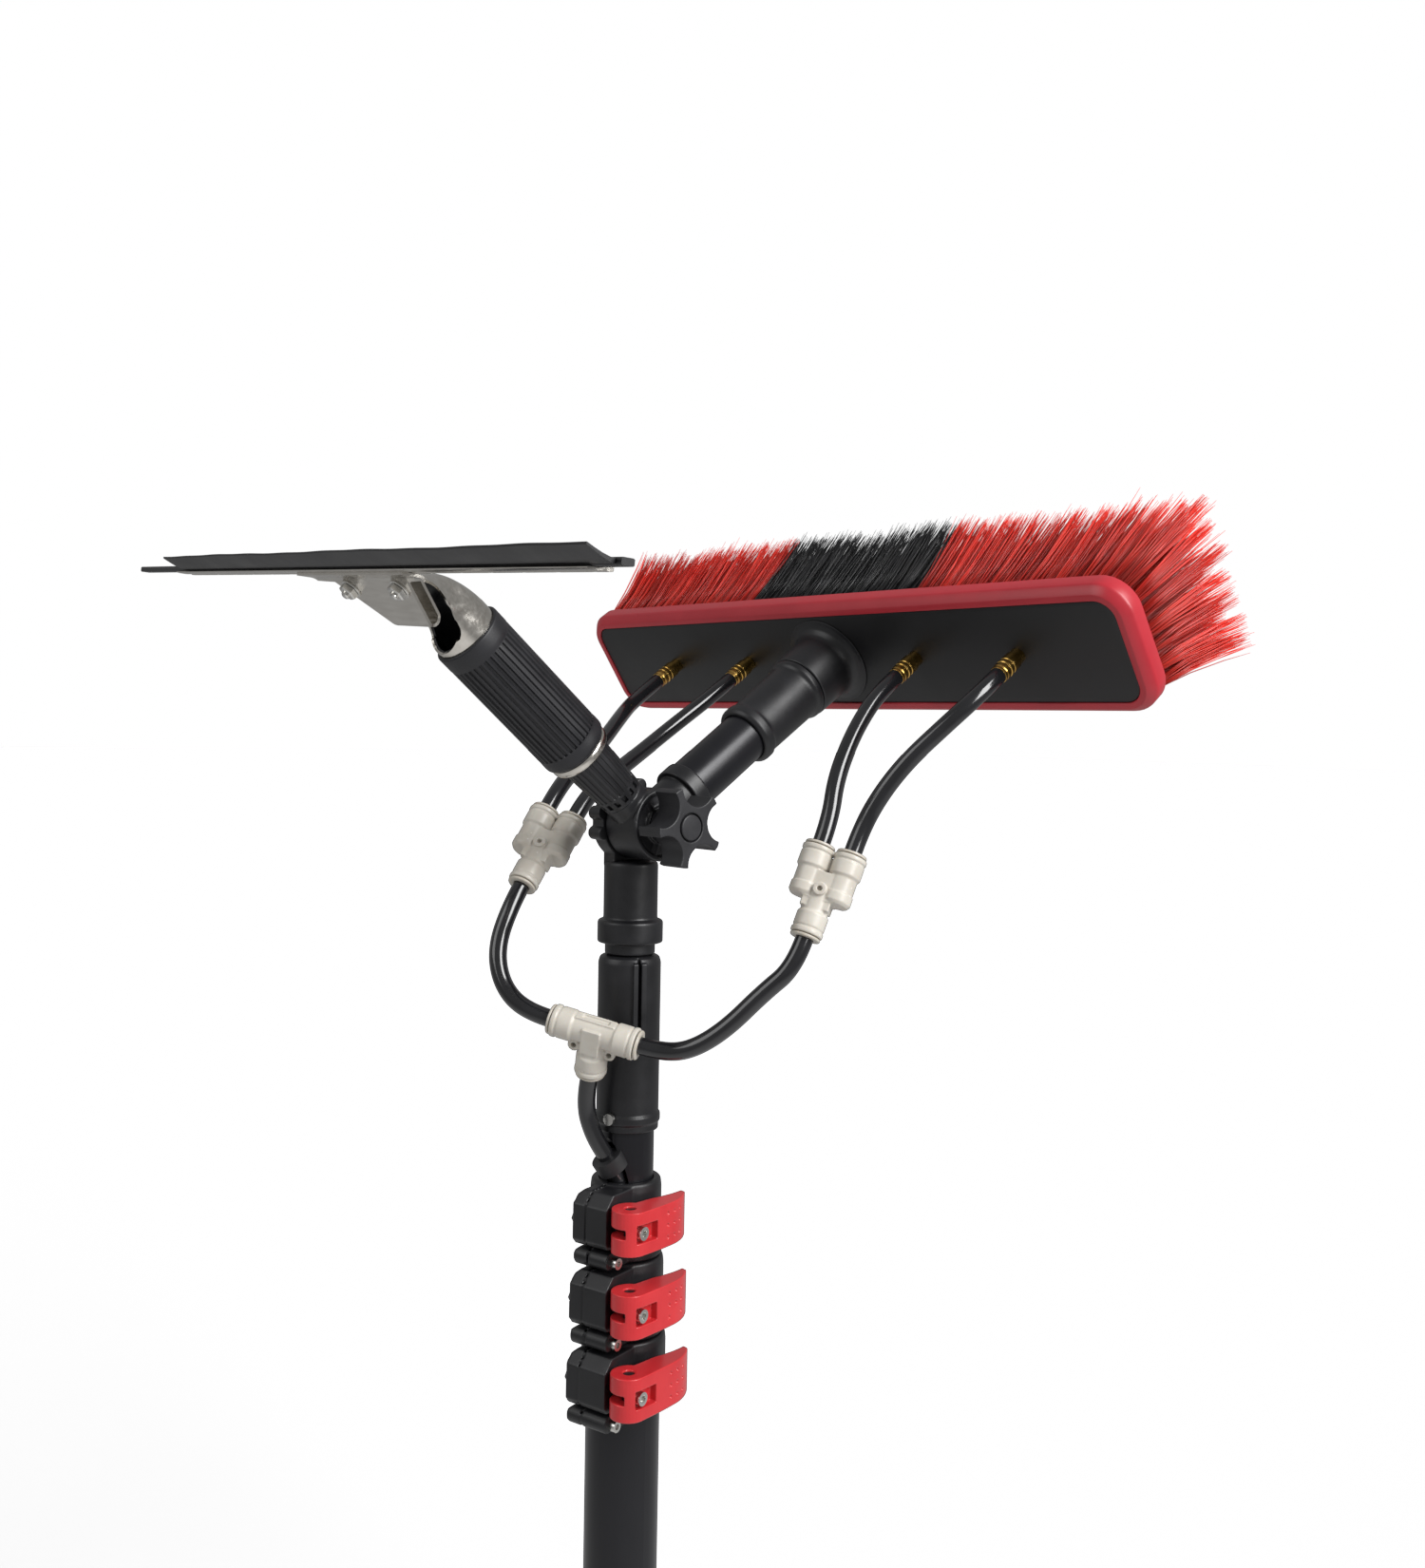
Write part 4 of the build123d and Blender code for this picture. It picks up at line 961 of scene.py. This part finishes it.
def grip_radius(a, s):
    if s < 61.8:
        return 15.9 - 1.6 * max(0.0, (57.6 - s) / 2.5) ** 2
    if s > 122.6:
        return 15.9 - 0.7 * max(0.0, (s - 129.6) / 0.9) ** 2
    if 63.0 < s < 121.6:
        return 15.8 - 0.85 * band(a / (2 * pi) * 36 + 0.5, 0.30)
    return 15.75


def bead(path, width, columns=12):
    """Closed cross-sections of a bent sheet: path is (up, along) points, width(i) half its width."""
    rings = []
    for i, (up, along) in enumerate(path):
        ahead = Vector(path[min(i + 1, len(path) - 1)]) - Vector(path[max(i - 1, 0)])
        ahead.normalize()
        lift = Vector((-ahead.y, ahead.x)) * SHEET / 2
        across = [width(i) * (2 * k / columns - 1) for k in range(columns + 1)]
        rings.append([(x, up + lift.x, along + lift.y) for x in across] +
                     [(x, up - lift.x, along - lift.y) for x in across[::-1]])
    return rings


def eased(path, radius, steps=6):
    """Open path with its inner corners rounded."""
    points = [Vector(path[0])]
    for before, here, after in zip(path[:-2], path[1:-1], path[2:]):
        here = Vector(here)
        back, ahead = Vector(before) - here, Vector(after) - here
        reach = min(radius, 0.49 * back.length, 0.49 * ahead.length)
        first, last = here + back.normalized() * reach, here + ahead.normalized() * reach
        points += [first * (1 - t) ** 2 + here * (2 * t * (1 - t)) + last * (t * t)
                   for t in (k / steps for k in range(steps + 1))]
    return points + [Vector(path[-1])]


def make_handle():
    cone_stations = [21.2, 21.6, 22.7, 22.9, 24.3, 25.8, 26.0, 27.2, 27.6, 33, 39, 45, 50.3, 50.6, 51.0]
    pipe(HANDLE, cone_radius, 8.1, cone_stations, 26 * 15, "ribbed_taper", "black_plastic", "squeegee_cone")
    ring = [(8.1, 51.1), (14.0, 51.1), (14.7, 51.6), (14.9, 52.4), (14.9, 54.0), (14.6, 55.0), (8.1, 55.0)]
    piece("handle_end_ring", Form().lathe(HANDLE, ring, radius=0.3, sides=96), "stainless", "head",
          "squeegee_ring", angle=50)
    grip_stations = [55.1, 55.5, 56.2, 57.0, 57.8, 60.0, 61.9, 62.3, 62.9, 63.2, 70, 80, 90, 100, 112, 121.4,
                     121.8, 122.3, 122.8, 125, 129.4, 129.9, 130.2, 130.5]
    pipe(HANDLE, grip_radius, 14.5, grip_stations, 36 * 12, "fluted_grip", "grip_rubber", "squeegee_grip")


TUBE_R, TUBE_WALL = 14.4, 1.1
MOUTH_S = 132.8


def wall_reach(s):
    """Half the length of wall left at s, measured round the tube from its top."""
    if s <= MOUTH_S:
        return pi * TUBE_R
    edge_v = 0.01 - TUBE_R + 11.9 * (1 - exp((MOUTH_S - s) / 6.3))
    return acos(edge_v / TUBE_R) * TUBE_R


def between(table, t):
    """Smooth value from a short table of (t, value) pairs."""
    for (t0, a), (t1, b) in zip(table, table[1:]):
        if t <= t1:
            mix = (t - t0) / (t1 - t0)
            mix = mix * mix * (3 - 2 * mix)
            return a + (b - a) * mix
    return table[-1][1]


def even_steps(path, step):
    """Points a step apart along a path."""
    found, left = [], 0.0
    for here, after in zip(path, path[1:]):
        length = (after - here).length
        while left < length:
            found.append(here.lerp(after, left / length))
            left += step
        left -= length
    return found + [path[-1]]


def make_handle_tube():
    """Steel tube whose lower half is cut away and whose upper half flattens into a tongue."""
    columns = 72
    ridge = eased([(TUBE_R, 118.0), (TUBE_R, 138.0), (13.0, 146.5), (9.6, 156.0), (1.0, 166.5), (-7.8, 173.5),
                   (-7.8, 179.0)], 12.0, 8)
    ridge = [Vector((TUBE_R, 118.0)), Vector((TUBE_R, MOUTH_S - 0.2))] + [
        Vector((TUBE_R, MOUTH_S + 0.03 * k * k)) for k in range(12)] + [
        p for p in even_steps(ridge, 0.7) if p.y > MOUTH_S + 4.0]
    bends = [(0.0, 1 / TUBE_R), (144.0, 1 / TUBE_R), (156.0, 1 / 15.5), (168.0, 1 / 34.0), (174.0, 1 / 400.0)]
    reaches = [(0.0, 1.0), (148.0, 1.0), (158.0, 0.86), (168.0, 0.58), (174.0, 0.40), (180.0, 0.38)]

    def row(i, depth, trim=0.0):
        here = ridge[i]
        ahead = (ridge[min(i + 1, len(ridge) - 1)] - ridge[max(i - 1, 0)]).normalized()
        outward = Vector((ahead.y, -ahead.x))
        bend, half = between(bends, here.y), wall_reach(here.y) * between(reaches, here.y) - trim
        points = []
        for k in range(columns + 1):
            turn = half * (2 * k / columns - 1) * bend
            dent = 1.5 * exp(-((here.y - 152.5) / 4.2) ** 2 - ((abs(turn) - 0.95) / 0.28) ** 2)
            rise = (cos(turn) - 1) / bend
            x = sin(turn) / bend
            inward = depth + dent
            up = outward * (rise - inward * cos(turn))
            points.append((x - inward * sin(turn), here.x + up.x, here.y + up.y))
        return points

    rings = [row(i, 0.0) + row(i, TUBE_WALL)[::-1] for i in range(len(ridge))]
    form = Form().ribbon(SQUEEGEE, rings)
    # Slot 1 lines the inner face of the tube with black plastic: a dark sheet standing in for painted shade
    # inside the tube, meant as a black plastic insert, with a black disc further in.
    form.slot = 1
    depth = TUBE_WALL + 0.05
    shade_lined_rows = [i for i in range(len(ridge)) if ridge[i].y < 160.0]
    form.ribbon(SQUEEGEE, [row(i, depth, 0.5) + row(i, depth + 0.9, 0.5)[::-1] for i in shade_lined_rows])
    inner = TUBE_R - depth - 0.4
    form.rod(SQUEEGEE, inner, 119.0, 120.5, sides=72)
    settle(build("handle_tube_end", form, "stainless", "black_plastic", angle=40), "head", "stainless",
           "squeegee_tube")


FOLD_S, BEND_S, FRONT_V, BACK_V, SHEET = 151.0, 180.0, -15.2, -9.6, 1.2
BLADE_DROP = radians(36.2)
BLADE_SHIFT = (BACK_V - FRONT_V) * tan(BLADE_DROP / 2)
BRACKET_X, BRACKET_LIP, BRACKET_SHOULDER, BRACKET_FOOT = 3.0, 94.0, 64.0, 29.0
BEAD_ENDS, LIP_ENDS = (-232.0, 194.0), (-168.0, 191.0)


def make_bracket():
    """Sheet folded into a tapering pocket whose two lips hold the blade's channel."""
    h_s, h_v, lip = cos(BLADE_DROP), -sin(BLADE_DROP), 8.5
    mid, gap = (FRONT_V + BACK_V) / 2, (BACK_V - FRONT_V) / 2
    bottom = [(mid + gap * cos(a), FOLD_S + 2 + gap * sin(a))
              for a in (-pi * k / 10 for k in range(1, 10))]
    back = eased([(BACK_V + h_v * lip, BEND_S + BLADE_SHIFT + h_s * lip), (BACK_V, BEND_S + BLADE_SHIFT),
                  (BACK_V, FOLD_S + 2)], 2.5)
    front = eased([(FRONT_V, FOLD_S + 2), (FRONT_V, BEND_S), (FRONT_V + h_v * lip, BEND_S + h_s * lip)], 2.5)
    path = [tuple(p) for p in back] + bottom + [tuple(p) for p in front]

    waist = BEND_S - 2.0
    stops = [FOLD_S + (waist - FOLD_S) * k / 4 for k in range(5)] + [waist + 0.15]
    fine = []
    for p, q in zip(path, path[1:]):
        low, high = sorted((p[1], q[1]))
        cuts = [s for s in stops if low < s < high and abs(p[0] - q[0]) < 0.01]
        cuts.sort(key=lambda s: abs(s - p[1]))
        fine += [p] + [(p[0], s) for s in cuts]
    fine.append(path[-1])

    def width(i):
        s = fine[i][1]
        if s > waist + 0.1:
            return BRACKET_LIP / 2
        share = min(max((s - FOLD_S) / (waist - FOLD_S), 0.0), 1.0)
        return BRACKET_FOOT / 2 + (BRACKET_SHOULDER - BRACKET_FOOT) / 2 * share

    place = SQUEEGEE @ shift(BRACKET_X, 0, 0)
    form = Form().ribbon(place, bead(fine, width))
    piece("folded_bracket", form, "stainless", "head", "squeegee_bracket", angle=40)
    fasteners = Form()
    down = frame_at((0, 0, 174.0), (0, -1, 0))
    for side in (-1, 1):
        bolt = SQUEEGEE @ down @ shift(BRACKET_X + side * 21.3, 0, 0)
        face = -FRONT_V + SHEET / 2
        rear = -BACK_V - SHEET / 2
        fasteners.rod(bolt, 4.7, face, face + 0.8, radius=0.2, sides=48)
        for low, step in ((face + 0.7, 1.0), (rear - 0.1, -1.0)):
            hexes = []
            for r, rise in ((3.5, 0.0), (4.04, 0.3), (4.04, 2.4), (3.3, 2.9)):
                hexes.append([(*polar(r, radians(60 * k + 8)), low + step * rise) for k in range(6)])
            fasteners.stack(bolt, hexes if step > 0 else hexes[::-1])
        fasteners.lathe(bolt, [(0, rear - 3.0), (1.9, rear - 3.0), (1.9, face + 4.4), (1.3, face + 5.0),
                               (0, face + 5.1)], sides=32)
    piece("bracket_fasteners", fasteners, "zinc_steel", "head", "bracket_bolts")


def make_blade():
    h_s, h_v = cos(BLADE_DROP), -sin(BLADE_DROP)
    origin = (0, (FRONT_V + BACK_V) / 2 + h_v * 3.0, BEND_S + BLADE_SHIFT / 2 + h_s * 3.0)
    blade = SQUEEGEE @ frame_at(origin, (0, h_v, h_s))
    along = blade @ frame_at((0, 0, 0), (1, 0, 0), (0, 1, 0))
    half = (BACK_V - FRONT_V) / 2 - SHEET / 2
    u_shape = [(-half + 0.1, 0.0), (half - 0.1, 0.0), (half, 3.0), (half, 10.0), (1.5, 10.0), (1.3, 4.0),
               (-1.3, 4.0), (-1.5, 10.0), (-half + 0.2, 10.0), (-half, 7.5), (-half, 4.2), (-half + 0.7, 3.6),
               (-half + 0.7, 2.8), (-half, 2.4)]
    outline = [tuple(p) for p in softened(u_shape, 0.5)]
    channel = build("blade_channel", Form().prism(along, outline, -177.5, 177.5), "stainless", angle=50)
    cuts = Form()
    for k in range(-8, 9):
        cuts.box(blade, (21.0 * k - 1.3, 21.0 * k + 1.3), (-half - 1.0, -half + 0.5), (-1.0, 1.0))
    carve(channel, cuts)
    channel.data.shade_smooth()
    channel.data.set_sharp_from_angle(angle=radians(50))
    settle(channel, "head", "stainless", "squeegee_channel")
    strip = [(-1.25, 4.6), (-0.9, 4.1), (0.9, 4.1), (1.25, 4.6), (1.25, 8.6), (0.8, 9.0), (-0.8, 9.0),
             (-1.25, 8.6)]
    rubber = Form().prism(along, strip, *BEAD_ENDS)
    rings = []
    low, high = LIP_ENDS
    for k in range(73):
        x = low + (high - low) * k / 72
        wave = 0.16 * sin(x * 0.05) + 0.08 * sin(x * 0.17)
        rings.append([(y, z, x) for y, z in (
            (-0.85, 8.5), (0.85, 8.5), (0.95, 11.0), (1.75 + wave * 0.4, 14.0), (2.85 + wave, 17.0),
            (4.1 + wave, 19.9), (3.7 + wave, 20.0), (3.3 + wave, 19.9), (1.9 + wave, 17.0),
            (0.55 + wave * 0.4, 14.0), (-0.55, 11.0))])
    rubber.stack(along, rings)
    piece("rubber_blade", rubber, "blade_rubber", "head", "squeegee_rubber", angle=50)


make_handle()
make_handle_tube()
make_bracket()
make_blade()


# ---------------------------------------------------------------- finish of the carried-over nodes
for n in (1, 2, 3):
    frame["nodes"][f"clamp_{n}_draw_bolt"].data.materials[0] = MATS["black_oxide"]
for cad_object in frame["nodes"].values():
    for index, old in enumerate(cad_object.data.materials):
        cad_object.data.materials[index] = MATS[old.name.split(".")[0]]


# ---------------------------------------------------------------- floor and light
AMBIENT, BACKDROP = 0.30, 1.0        # world brightness for the object and for what the camera sees
FLOOR_HALF = 50.0


def make_stage():
    foot = CAD_BOX[0][2] - 0.002
    mesh = bpy.data.meshes.new("floor")
    half = FLOOR_HALF
    mesh.from_pydata([(-half, -half, foot), (half, -half, foot), (half, half, foot), (-half, half, foot)], [],
                     [(0, 1, 2, 3)])
    pale = material("floor_pale", (0.86, 0.86, 0.86), (0.88, 0.88, 0.88), 0.9, vary=0.02, scale=2.0)
    mesh.materials.append(pale)
    floor = linked("floor", mesh)
    floor.is_shadow_catcher = True
    world = bpy.data.worlds.new("studio")
    bpy.context.scene.world = world
    world.use_nodes = True
    tree = world.node_tree
    tree.nodes["Background"].inputs["Color"].default_value = (1.0, 1.0, 1.0, 1)
    level = node(tree, "MapRange", To_Min=AMBIENT, To_Max=BACKDROP)
    tree.links.new(node(tree, "LightPath").outputs["Is Camera Ray"], level.inputs["Value"])
    tree.links.new(level.outputs["Result"], tree.nodes["Background"].inputs["Strength"])
    bpy.context.scene.view_settings.view_transform = "Standard"


def soft_light(name, place, aim, size, power):
    data = bpy.data.lights.new(name, "AREA")
    data.shape = "RECTANGLE"
    data.size, data.size_y = size
    data.energy = power
    lamp = linked(name, data)
    lamp.location = PIVOT + Vector(place)
    lamp.rotation_euler = (PIVOT + Vector(aim) - lamp.location).to_track_quat("-Z", "Y").to_euler()


make_stage()
soft_light("key", (1.3, 0.2, 0.7), (0.0, 0.0, -0.05), (0.7, 1.1), 30.0)
soft_light("fill", (-0.4, -1.6, 0.9), (0.0, 0.0, 0.0), (1.2, 1.2), 10.0)
